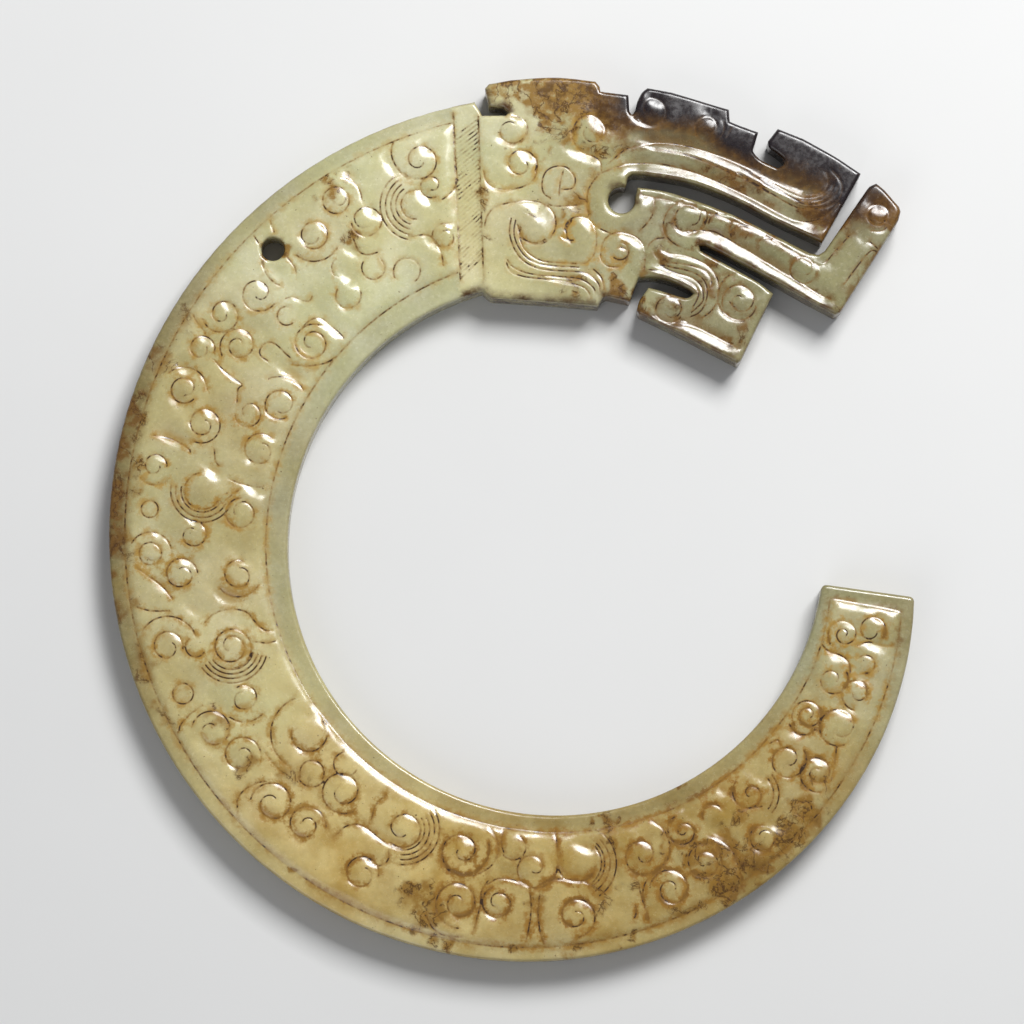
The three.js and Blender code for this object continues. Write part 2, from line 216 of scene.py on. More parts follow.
def head_outline():
    """Outline of the head, clockwise from the top of the collar: three crest flanges cut apart by
    notches, the snout, the open mouth, the turned-up jaw, the beard and the throat."""
    crest_first = [
        [(-8.65, 49.4), (-8.3, 48.7), (-5.6, 48.7), (-5.25, 49.05), (-5.9, 49.65)],
        [(-7.5, 49.75), (-7.95, 51.8), (-7.5, 52.3)],
        smooth([(-5, 52.75), (0, 53.05), (4.5, 52.6)]),
        [(4.95, 52.0), (5.05, 51.45), (8.2, 51.05)],
    ]
    crest_second = [
        smooth([(8.3, 49.2), (8.6, 48.85), (8.95, 49.2)]),
        smooth([(9.2, 50.3), (9.7, 51.3), (10.35, 51.85)]),
        smooth([(13, 51.35), (16, 50.45), (19.5, 49.4)]),
        [(19.6, 48.0), (20.2, 47.75), (22.8, 46.8)],
    ]
    crest_third = [
        smooth([(22.3, 45.2), (22.25, 44.6), (23.2, 43.6), (25.0, 42.75)]),
        smooth([(25.6, 43.1), (25.7, 43.7), (25.0, 44.4)]),
        [(24.0, 45.1), (23.9, 45.8), (25.0, 47.2)],
        smooth([(28, 46), (31.5, 44), (34.3, 42.1)]),
    ]
    mouth = [
        smooth([(29.9, 34.3), (25, 36.6), (20, 39.2), (15, 41.1), (10, 42.0)]),
        smooth([(8.6, 42.05), (8.1, 41.6), (7.95, 40.9)]),
        arc(MOUTH_CORNER, MOUTH_CORNER_RADIUS, *MOUTH_CORNER_ENDS),
        smooth([(9.2, 40.55), (12, 40.2), (15, 39.3), (20, 37.4), (25, 34.9), (28.5, 33.1)]),
        [(29.5, 32.9), (30.2, 33.3)],
    ]
    jaw = [
        [(35.0, 40.3), (35.3, 40.65), (36.05, 41.0), (37, 40.2), (38.6, 38.3), (38.75, 37.8)],
        [(38.5, 36.8), (31.9, 26.4), (31.3, 26.15)],
        smooth([(28, 27.9), (22, 31.3), (18, 33.4), (16.8, 34.0)]),
        [(16.1, 33.95), (16.2, 33.4)],
        smooth([(18, 32.4), (21.5, 30.5), (23, 29.6), (24.4, 28.5)]),
    ]
    beard = [
        [(20.7, 20.9), (20.3, 20.65)],
        smooth([(15, 23.4), (12, 24.9), (9.3, 26.2)]),
        smooth([(9.1, 26.65), (9.4, 27.7), (10.4, 29.2)]),
        smooth([(12.5, 28.6), (14.6, 28.0), (15.5, 28.5)]),
        smooth([(15.0, 28.95), (13, 29.9), (11, 30.35), (9.3, 30.25)]),
    ]
    throat = [
        [(8.9, 29.3), (8.3, 27.65), (5.7, 28.2), (5.25, 28.0), (4.7, 27.1)],
        smooth([(0, 27.5), (-4, 27.8), (-7.3, 28.0)]),
        [(-7.9, 28.5)],
    ]
    runs = crest_first + crest_second + crest_third + mouth + jaw + beard + throat
    return np.vstack([np.asarray(run, float) for run in runs])


def rounded(start, corner, end):
    """Points on the way round a corner, as on a worn edge."""
    share = np.linspace(0, 1, CORNER_STEPS)[:, None]
    return (1 - share) ** 2 * start + 2 * share * (1 - share) * corner + share ** 2 * end


def outline():
    """The pendant's outline, counter-clockwise, in even short steps."""
    tail_turn = np.degrees(TAIL_CORNER / INNER_RADIUS)
    inner_radii = [INNER_RADIUS, INNER_RADIUS + TAIL_CORNER]
    outer_radii = [TAIL_OUTER_RADIUS - TAIL_CORNER, TAIL_OUTER_RADIUS]
    ends = polar(np.full(4, TAIL_ANGLE), np.array(inner_radii + outer_radii))
    ring = [
        ring_run(THROAT_ANGLE, TAIL_ANGLE - tail_turn, inner_radius),
        rounded(polar(TAIL_ANGLE - tail_turn, INNER_RADIUS), ends[0], ends[1]),
        rounded(ends[2], ends[3], polar(TAPER_END, TAIL_OUTER_RADIUS)),
        ring_run(TAPER_END, COLLAR_TOP_ANGLE, outer_radius),
    ]
    corners = np.vstack([head_outline()] + ring)
    closed = np.vstack([corners, corners[:1]])
    even = [resample([a, b], OUTLINE_STEP)[:-1] for a, b in zip(closed, closed[1:])]
    points = np.vstack(even)[::-1]
    kept = [points[0]]
    for point in points[1:]:
        if np.hypot(*(point - kept[-1])) > OUTLINE_STEP / 3:
            kept.append(point)
    return np.array(kept)


# Curls of the body: angle round the ring, distance out from the inner circle, the incised spiral's radius
# at its start and end, the direction of its start and how far it turns.
BODY_CURLS = [
    (109.7, 7.2, 1.2, 1.4, 330, -260), (112.2, 11.6, 1.6, 1.7, 272, -200),
    (109.0, 13.0, 1.0, 1.35, 39, 260), (109.3, 16.2, 1.2, 2.3, 199, -340),
    (120.0, 12.4, 1.5, 1.75, 160, -330), (122.3, 16.2, 1.5, 1.5, 60, 330),
    (129.5, 6.65, 1.35, 1.5, 150, 230), (127.7, 14.4, 1.4, 1.6, 200, -330),
    (140.0, 5.6, 1.2, 2.2, 120, -420), (139.5, 13.9, 1.1, 2.2, 0, 330),
    (152.8, 4.8, 1.6, 1.6, 20, 280), (156.6, 7.5, 1.3, 1.5, 60, -240),
    (161.7, 4.9, 1.6, 1.75, 300, -260), (147.5, 12.1, 1.0, 2.2, 150, 420),
    (145.0, 15.6, 0.95, 2.3, 230, -400), (150.6, 15.5, 1.2, 1.45, 230, -250),
    (157.1, 15.2, 1.35, 1.5, 45, 270), (160.8, 11.8, 1.1, 2.2, 300, -420),
    (174.0, 5.4, 1.4, 1.75, 70, -340), (171.0, 10.0, 2.0, 2.1, 100, 230),
    (168.5, 15.7, 1.1, 1.3, 230, -240), (178.0, 10.5, 1.3, 1.5, 210, 250),
    (184.9, 5.6, 1.5, 1.5, 310, -240), (184.2, 12.0, 1.3, 1.9, 340, -340),
    (181.0, 15.3, 1.25, 1.25, 0, 350), (194.4, 14.7, 1.4, 1.7, 270, -280),
    (195.6, 11.7, 1.15, 1.15, 130, 200), (197.3, 7.9, 1.2, 2.4, 110, -560),
    (205.9, 8.6, 1.35, 1.35, 230, 260), (208.3, 13.4, 1.3, 2.4, 190, 340),
    (213.6, 12.1, 1.2, 2.3, 0, -380), (217.2, 4.6, 1.9, 2.1, 170, 230),
    (222.9, 7.1, 1.35, 1.35, 200, -230), (229.0, 6.2, 1.4, 2.6, 270, 390),
    (222.3, 12.6, 1.4, 2.5, 180, 350), (228.1, 11.7, 1.1, 2.3, 10, -380),
    (239.3, 12.3, 1.5, 1.9, 290, -300), (241.8, 5.8, 1.5, 2.1, 165, -300),
    (252.9, 5.55, 1.1, 3.1, 290, 450), (254.7, 11.2, 1.0, 2.8, 130, 500),
    (260.8, 10.3, 1.1, 1.9, 110, -360), (261.9, 3.9, 1.4, 1.4, 220, 200),
    (266.0, 5.95, 1.0, 2.7, 10, 370), (273.7, 5.4, 2.1, 2.1, 150, 200),
    (285.6, 5.75, 0.9, 2.6, 300, 420), (273.0, 11.2, 1.0, 2.4, 330, -410),
    (288.5, 10.3, 1.0, 2.4, 120, 410), (294.0, 4.8, 0.6, 1.9, 190, -430),
    (295.2, 8.9, 1.0, 2.2, 130, -420), (300.2, 4.7, 1.2, 1.2, 200, -160),
    (308.0, 5.05, 0.5, 2.1, 170, -390), (305.2, 9.85, 1.3, 1.5, 10, -280),
    (317.1, 5.1, 1.3, 2.2, 50, 340), (319.0, 8.5, 0.9, 2.2, 200, 440),
    (326.1, 3.85, 0.8, 1.9, 80, 500), (327.2, 7.3, 1.9, 2.1, 20, 270),
    (334.1, 4.25, 1.1, 1.8, 100, 290), (333.9, 7.3, 1.0, 1.9, 320, 300),
    (339.1, 6.95, 1.0, 1.0, 130, -230), (343.0, 3.6, 0.6, 1.9, 100, 480),
    (345.2, 6.5, 1.3, 1.5, 210, -260),
]

# The longer curls run on inward over their domes: the least turn of such a curl, how far its hook turns
# and how small the hook gets.
HOOK_LEAST, HOOK_TURN, HOOK_SHARE = 240, 120, 0.45

# Curls that are only scratched in, with no dome: the same six values.
FINE_CURLS = [
    (118.2, 5.2, 1.4, 1.6, 308, 260), (127.3, 9.5, 1.2, 1.2, 127, 100),
    (123.1, 7.5, 1.3, 1.3, 150, 260), (139.3, 9.8, 1.05, 1.05, 80, 230),
    (174.7, 15.6, 0.95, 0.95, 0, 350), (201.6, 14.7, 1.15, 1.15, 0, 350),
    (226.1, 3.75, 1.35, 1.35, 110, 220), (240.2, 9.7, 1.15, 1.15, 190, 190),
    (313.2, 10.2, 0.9, 0.9, 0, 300), (280.3, 11.3, 1.5, 1.5, 330, 50),
]

# Bundles of hair combed round a curl: angle, distance out, radii, start and end direction.
HAIR_ARCS = [
    (112.2, 11.6, (2.25, 2.8, 3.4, 4.0), 127, 257), (171.0, 10.0, (2.4, 3.0, 3.55), 170, 330),
    (197.3, 7.9, (2.5, 3.0, 3.5, 4.0), 215, 345), (241.8, 5.8, (2.3, 2.85, 3.4, 3.95), 32, -98),
    (273.7, 5.4, (2.75, 3.1, 3.7, 4.4), -55, 45), (308.0, 5.05, (2.6, 3.2), 40, -40),
]

# Arcs that bound the raised band round a curl: angle, distance out, radius, start and end direction.
BAND_ARCS = [
    (122.3, 16.2, 2.9, 70, 0), (127.7, 14.4, 3.0, 230, 330), (152.8, 4.8, 3.2, 33, 113),
    (157.1, 15.2, 2.6, 130, 0), (168.5, 15.7, 2.2, 220, 310), (184.9, 5.6, 2.6, 220, 330),
    (181.0, 15.3, 2.4, 150, 0), (194.4, 14.7, 3.3, 150, 20), (205.9, 8.6, 2.75, 235, 320),
    (217.2, 4.6, 4.2, 240, 110), (222.9, 7.1, 1.6, 200, 320),
]

# Lines that part the raised scrolls of the body from each other.
BODY_SEAMS = [
    [(-11.5, 49.0), (-11.26, 43.7), (-11.1, 41.3), (-11.8, 39.9), (-12.8, 39.1)],
    [(-16.55, 41.5), (-17.45, 42.3), (-18.25, 43.5), (-18.5, 44.7), (-18.25, 45.7)],
    [(-15.6, 35.05), (-14.2, 35.05), (-13, 33.6), (-12.6, 31.6)],
    [(-22.7, 34.65), (-22.1, 33.3), (-21.1, 32.9), (-19.9, 33.2)],
    [(-33.8, 34.9), (-33.1, 33.8)],
    [(-32.1, 36.8), (-31.6, 35.4)],
    [(-33, 32), (-32.4, 30.65), (-31.6, 29.75), (-30.9, 29.45)],
    [(-30.1, 32.6), (-29.3, 31.55), (-29.1, 30.75)],
    [(-30.3, 27.9), (-29.5, 28.1), (-28.5, 27.7), (-27.6, 27.7), (-27.3, 28.3)],
    [(-28.5, 24.5), (-27.5, 25.5), (-26.3, 25.7), (-25.3, 24.9), (-24.3, 24.1), (-23.8, 23.5)],
    [(-29.5, 20.5), (-28.1, 20.3), (-26.9, 20.4), (-25.7, 20.7), (-24.7, 21.3)],
    [(-38.2, 21), (-37.3, 19.9), (-36.1, 18.9), (-35.1, 18.2), (-35.6, 17.7), (-35.7, 16.1)],
    [(-40.65, 26.1), (-40.35, 25.5), (-39.3, 24.1)],
    [(-45, 12.5), (-42.8, 12), (-41.1, 11), (-40.9, 10.6)],
    [(-38.2, 10.85), (-38.1, 9.7), (-37.7, 9.1)],
    [(-36.4, 7.6), (-35.3, 7.1), (-33.95, 6.8), (-33, 6.7), (-32.3, 7.0)],
    [(-37.3, 4.85), (-36.2, 5.8), (-35.4, 6.35)],
    [(-46.9, -2.3), (-45.6, -3.2), (-44.1, -4.3), (-42.8, -5.8)],
    [(-39.2, -8.5), (-38.1, -7.5), (-36.6, -7.05), (-35.3, -7.1), (-34.3, -7.5), (-33.6, -8.4),
     (-32.6, -9.3), (-31.9, -9.4)],
    [(-46.7, -6.8), (-45.2, -7.2), (-43.1, -7.2)],
    [(-42, -20.6), (-41.8, -19.9), (-41.1, -19.1), (-40.3, -18.4), (-39.4, -17.8)],
    [(-32.3, -23.1), (-31.8, -23.8), (-31.3, -24.4), (-30.4, -25.3)],
    [(-35.45, -29.1), (-35.45, -28.3), (-34.9, -27.4), (-34.1, -26.8), (-33.2, -26.4), (-32.3, -26.2)],
    [(-20.5, -30.3), (-20.1, -28.9), (-18.9, -27.7)],
    [(-24.5, -32.3), (-23.5, -31.3), (-22.1, -31), (-20.9, -31.5), (-19.5, -32.7), (-18.3, -33.5),
     (-16.9, -33.8)],
    [(-14.5, -41.1), (-13.7, -42.5), (-12.5, -43.3), (-10.5, -43.5)],
    [(-7.45, -31.4), (-6.65, -32.5), (-6.4, -33.9), (-6.95, -35.3), (-8.05, -36.2), (-9.5, -36.7),
     (-11.3, -36.5), (-12.3, -35.7), (-12.7, -34.1)],
    [(-5.9, -31.8), (-6.1, -33), (-5.8, -34.2)],
    [(-0.1, -31.9), (0.1, -33.2), (0.2, -34.9)],
    [(-7.6, -37.3), (-8.3, -38.5), (-8.5, -40.3), (-9.3, -43.3)],
    [(-7.65, -37.7), (-6.2, -37.0), (-3.6, -37.5), (-2.8, -38.1)],
    [(-3, -38.1), (-2.8, -39.7), (-2.9, -41.7), (-3.3, -43.7)],
    [(-1.8, -37.7), (-0.2, -37.1), (2.8, -37.3), (3.8, -37.7)],
    [(-1.8, -38.5), (-2, -40.7), (-1.8, -42.9), (-1.4, -44.1)],
    [(10.6, -30.6), (11.8, -31.4), (12.5, -32.8), (12.6, -34.2), (12.1, -35.5)],
    [(10.4, -36.9), (9.8, -37.7), (9.6, -39.1), (10, -40.7), (10.2, -41.5)],
    [(17, -32.3), (19.2, -33.4), (20, -35), (20.5, -36.7), (20.6, -38.1)],
    [(18, -33.4), (18.4, -35.5), (18, -37), (18.2, -38.5)],
    [(20.3, -29.4), (21.8, -29.2), (23.0, -29.0)],
    [(29.6, -10.9), (30.4, -11.7), (31.6, -12.1), (32.6, -12.9), (32.8, -14.1)],
    [(33.6, -11.1), (34.9, -10.7), (36.5, -11.1), (37.5, -11.1)],
    [(26.0, -19.9), (26.8, -20.9), (28.0, -21.0), (28.8, -20.5)],
    [(31.2, -22.4), (31.0, -24.4), (30.6, -26.2)],
]

# Single scratched lines on the body.
BODY_SCRATCHES = [
    [(-32.3, 20.9), (-33.0, 21.4), (-33.2, 21.9), (-32.9, 22.6), (-32.1, 23.0), (-31.3, 22.7),
     (-30.5, 21.9), (-29.7, 21.2)],
    [(-33.4, -10.7), (-32.3, -10.8), (-31.3, -10.6)],
    [(9.2, -38), (9.6, -39.5), (10.2, -41)],
    [(23.8, -22.0), (24.6, -21.6), (24.9, -21.95)],
]

# Curls of the head: centre, then the spiral's four values.
HEAD_CURLS = [
    (-4.8, 47.1, 1.55, 1.55, 200, 260), (-3.9, 43.2, 1.2, 1.8, 270, -300),
    (3.9, 47.0, 1.5, 1.9, 300, 260), (-2.5, 36.0, 1.6, 1.9, 195, 120), (2.8, 35.3, 1.5, 1.7, 225, -100),
    (7.2, 33.3, 1.0, 1.0, 60, -200), (10.8, 49.3, 1.35, 1.7, 100, -250), (17.1, 47.3, 1.0, 1.9, 0, 380),
    (15.0, 36.9, 1.6, 1.7, 60, 300), (20.7, 27.7, 1.0, 2.2, 200, 400), (12.7, 26.7, 1.4, 1.55, 0, 330),
    (36.2, 37.4, 1.2, 1.2, 0, 330), (18.4, 36.4, 1.2, 1.2, 60, 120), (20.9, 35.0, 1.2, 1.2, 60, 120),
    (23.7, 33.6, 1.2, 1.2, 60, 120), (27.8, 31.2, 1.4, 1.6, 60, 290),
]

# Lines that bound the raised forms of the head: curl tails, mouth ring, lip, brow, cheek, jaw and beard.
HEAD_SEAMS = [
    [(-3.4, 48.2), (-3.15, 47.2), (-3.4, 46.2), (-4, 45.6), (-5, 45.4), (-6.2, 46.1)],
    [(-2.2, 43.9), (-2.05, 43), (-2.3, 41.8), (-2.9, 41), (-4, 40.5), (-5.5, 40.3), (-7, 40.5),
     (-7.8, 41.3), (-8.1, 42.5)],
    [(1.8, 47), (2, 45.8), (2.6, 45), (3.2, 44.5), (4.2, 44.1), (4.9, 43.6), (5.15, 43), (5.1, 42.4)],
    [(5.1, 42.3), (3.7, 40.3), (3.6, 38), (4.5, 36.2), (6, 35.4)],
    [(9.4, 35.6), (10.2, 36.4), (10.8, 37.3), (11.1, 38.4), (11, 39.3)],
    [(5.2, 42.2), (6, 42.5), (7.2, 42.9), (8.5, 43.2), (10, 43.3), (12, 43.2), (15, 42.5), (18, 41.3),
     (22, 39.3), (26, 37.1), (27.5, 36.7), (29, 36.8), (30.5, 37.4), (31.8, 38.7)],
    [(6, 43.3), (6.8, 44), (7.8, 44.8), (9, 45.2), (12, 45.6), (15, 45.2), (18, 44.3), (21, 43),
     (24, 41.4), (27.5, 39.7), (28.5, 39.6), (29.8, 39.9), (30.5, 40.7), (30.6, 41.5), (30.4, 42.3)],
    [(-4.2, 36.2), (-3.9, 35), (-3, 34.3), (-1.8, 34.1), (-0.8, 34.6), (-0.1, 35.7), (0, 36.8),
     (-0.3, 37.8), (-1.2, 38.6), (-2.5, 39), (-4.5, 38.9), (-6, 38.6), (-7.2, 38), (-7.8, 37), (-8, 36)],
    [(-3.9, 36), (-4, 34.8), (-3.5, 33.6), (-2.7, 32.8), (-1.5, 32.2), (0, 32.05), (3, 31.9),
     (3.6, 32.2), (4.3, 33), (4.6, 34.5), (4.3, 36), (3.7, 37)],
    [(0.8, 34.9), (1.3, 34.6), (2.1, 34.5)],
    [(1, 35.6), (1.2, 36.4), (1.8, 37), (2.7, 37.2), (3.6, 37), (4.4, 36.2)],
    [(7.3, 33.7), (7.9, 33.5), (8.1, 33), (7.9, 32.2), (7.3, 31.6), (6.5, 31.5), (5.6, 31.8), (5.1, 32.6),
     (5.1, 33.5), (5.4, 34.5), (6.2, 35.2), (7.2, 35.4), (8.3, 35.2), (9.2, 34.8), (9.8, 34), (10, 33),
     (9.9, 31), (9.6, 30.6)],
    [(12.5, 49.4), (12.2, 48.2), (11.3, 47.5), (10.3, 47.5), (9.2, 48), (8.7, 48.5)],
    [(9.8, 39.6), (13, 39), (15, 38.4), (19, 37), (22, 35.9), (24, 34.8), (26, 33.6), (28, 32.4),
     (29.7, 31.5)],
    [(14.2, 39), (13.2, 38.5), (12.4, 37.5), (12.1, 36.4), (12.3, 35.3), (13, 34.4), (14.2, 33.7),
     (15.5, 33.4)],
    [(14.5, 35.6), (17.5, 35.6), (19, 34.9), (21, 33.7), (25, 31.2), (29.3, 28.6), (31, 27.8)],
    [(30.2, 31.9), (33, 35.1)],
    [(33, 28.6), (36.5, 33.9)],
    [(35.4, 35.6), (36.5, 35.5), (37.2, 36)],
    [(11.1, 33.2), (11.4, 32.6), (12.3, 32.1), (14, 31.9), (15.5, 31.6), (16.7, 31.1), (17.4, 30.3),
     (17.5, 29.5)],
    [(12.2, 33.3), (13, 32.9), (14.5, 32.8), (16, 32.3), (17.3, 31.5), (18.1, 30.3), (18.3, 29),
     (18.1, 27.6), (17.4, 26.5), (16.3, 25.7)],
    [(20, 30.8), (19, 30.2), (18.3, 29), (18.2, 27.8), (18.6, 26.6), (19.3, 25.9), (20.3, 25.5),
     (21.2, 25.6), (22, 26.1), (22.5, 27)],
    [(11, 26), (12.6, 25.2), (16, 24.6), (20.5, 22.3)],
]

# Hair of the head and other lines that are only scratched in.
HEAD_SCRATCHES = [
    [(11, 44.9), (14, 44.4), (16.5, 43.6), (19, 42.5), (21.5, 41.3), (24, 39.9)],
    [(-0.6, 39.3), (-1.4, 40), (-1.5, 41.3), (-1, 42.4), (0, 42.9), (1.2, 42.8), (2, 42), (2.2, 41.2),
     (1.8, 40.4), (0.6, 40.3)],
    [(0.8, 42.2), (0.5, 41), (0.4, 39.6)], [(-1, 38.8), (0, 38.4), (3, 38.6)],
    [(23.5, 41), (26, 39.6), (28, 39), (29.5, 39.1), (30.7, 39.8), (31.3, 40.8)],
    [(22, 42.2), (25, 40.4), (27, 39), (28.5, 38.6), (30, 38.8), (31.3, 39.6), (31.8, 40.6)],
    [(20.5, 42.2), (24, 40), (27, 38.3), (28.8, 38.1), (30.5, 38.3), (31.8, 39.2), (32.2, 40.5),
     (31.8, 41.6), (31, 42.5)],
    [(-3, 37.5), (-2, 37)],
    [(-4.5, 36.8), (-4.7, 35.5), (-4.4, 34.2), (-3.6, 32.9), (-2.5, 32.1), (-1, 31.7), (2.5, 31.5)],
    [(-5, 37), (-5.2, 35.5), (-4.8, 33.9), (-4, 32.6), (-2.8, 31.7), (-1, 31.2), (3, 30.9), (4.3, 30.2),
     (4.9, 29.4), (5, 28.6)],
    [(-5.4, 32.3), (-4.9, 31.6), (-3.8, 31), (-2, 30.6), (2, 30.3), (3.3, 29.9), (4.2, 29.2),
     (4.5, 28.5)],
    [(-5.5, 31.9), (-5, 31), (-3.5, 30.4), (0, 30), (2, 29.6), (3.2, 29.2), (3.8, 28.5), (3.9, 28)],
    [(4.3, 31.2), (5, 30.5), (5.4, 29.5), (5.4, 28.9)], [(19.2, 46.2), (19.8, 47.3)],
    [(16.8, 38), (17, 37), (16.6, 36)], [(19.8, 36.8), (19.5, 35.8), (19.7, 35)],
    [(32.3, 29.5), (35, 33), (36, 33.3)], [(35.3, 34.3), (36.6, 33.2)],
    [(10.1, 33.4), (10.6, 34.2), (11.3, 34.7), (12.2, 34.8)],
    [(11.6, 32), (13, 31.5), (14.5, 31.2), (16, 30.6), (16.8, 29.7), (17, 28.5), (16.7, 27.2),
     (16, 26.3), (15.1, 25.9)],
    [(11.8, 31.7), (13.3, 30.9), (15, 30.5), (16, 29.8), (16.5, 28.8), (16.4, 27.5), (15.1, 26.3)],
    [(10.6, 31.2), (12, 30.9), (13.5, 30.4), (14.9, 29.8), (15.8, 29.1), (16, 28.2), (15.3, 26.8)],
    [(19.5, 27.6), (19.8, 27.1), (20.3, 26.9)],
]

# Raised roll along the jaw's outer side, and the ring round the corner of the mouth.
JAW_ROLL, JAW_ROLL_HALF_WIDTH, JAW_ROLL_RISE = [(31.4, 28.0), (36.4, 35.8)], 0.9, 0.16
MOUTH_RING_RADIUS, MOUTH_RING_HALF_WIDTH, MOUTH_RING_RISE = 2.5, 0.8, 0.24
MOUTH_RING_ENDS = (-20, -275)

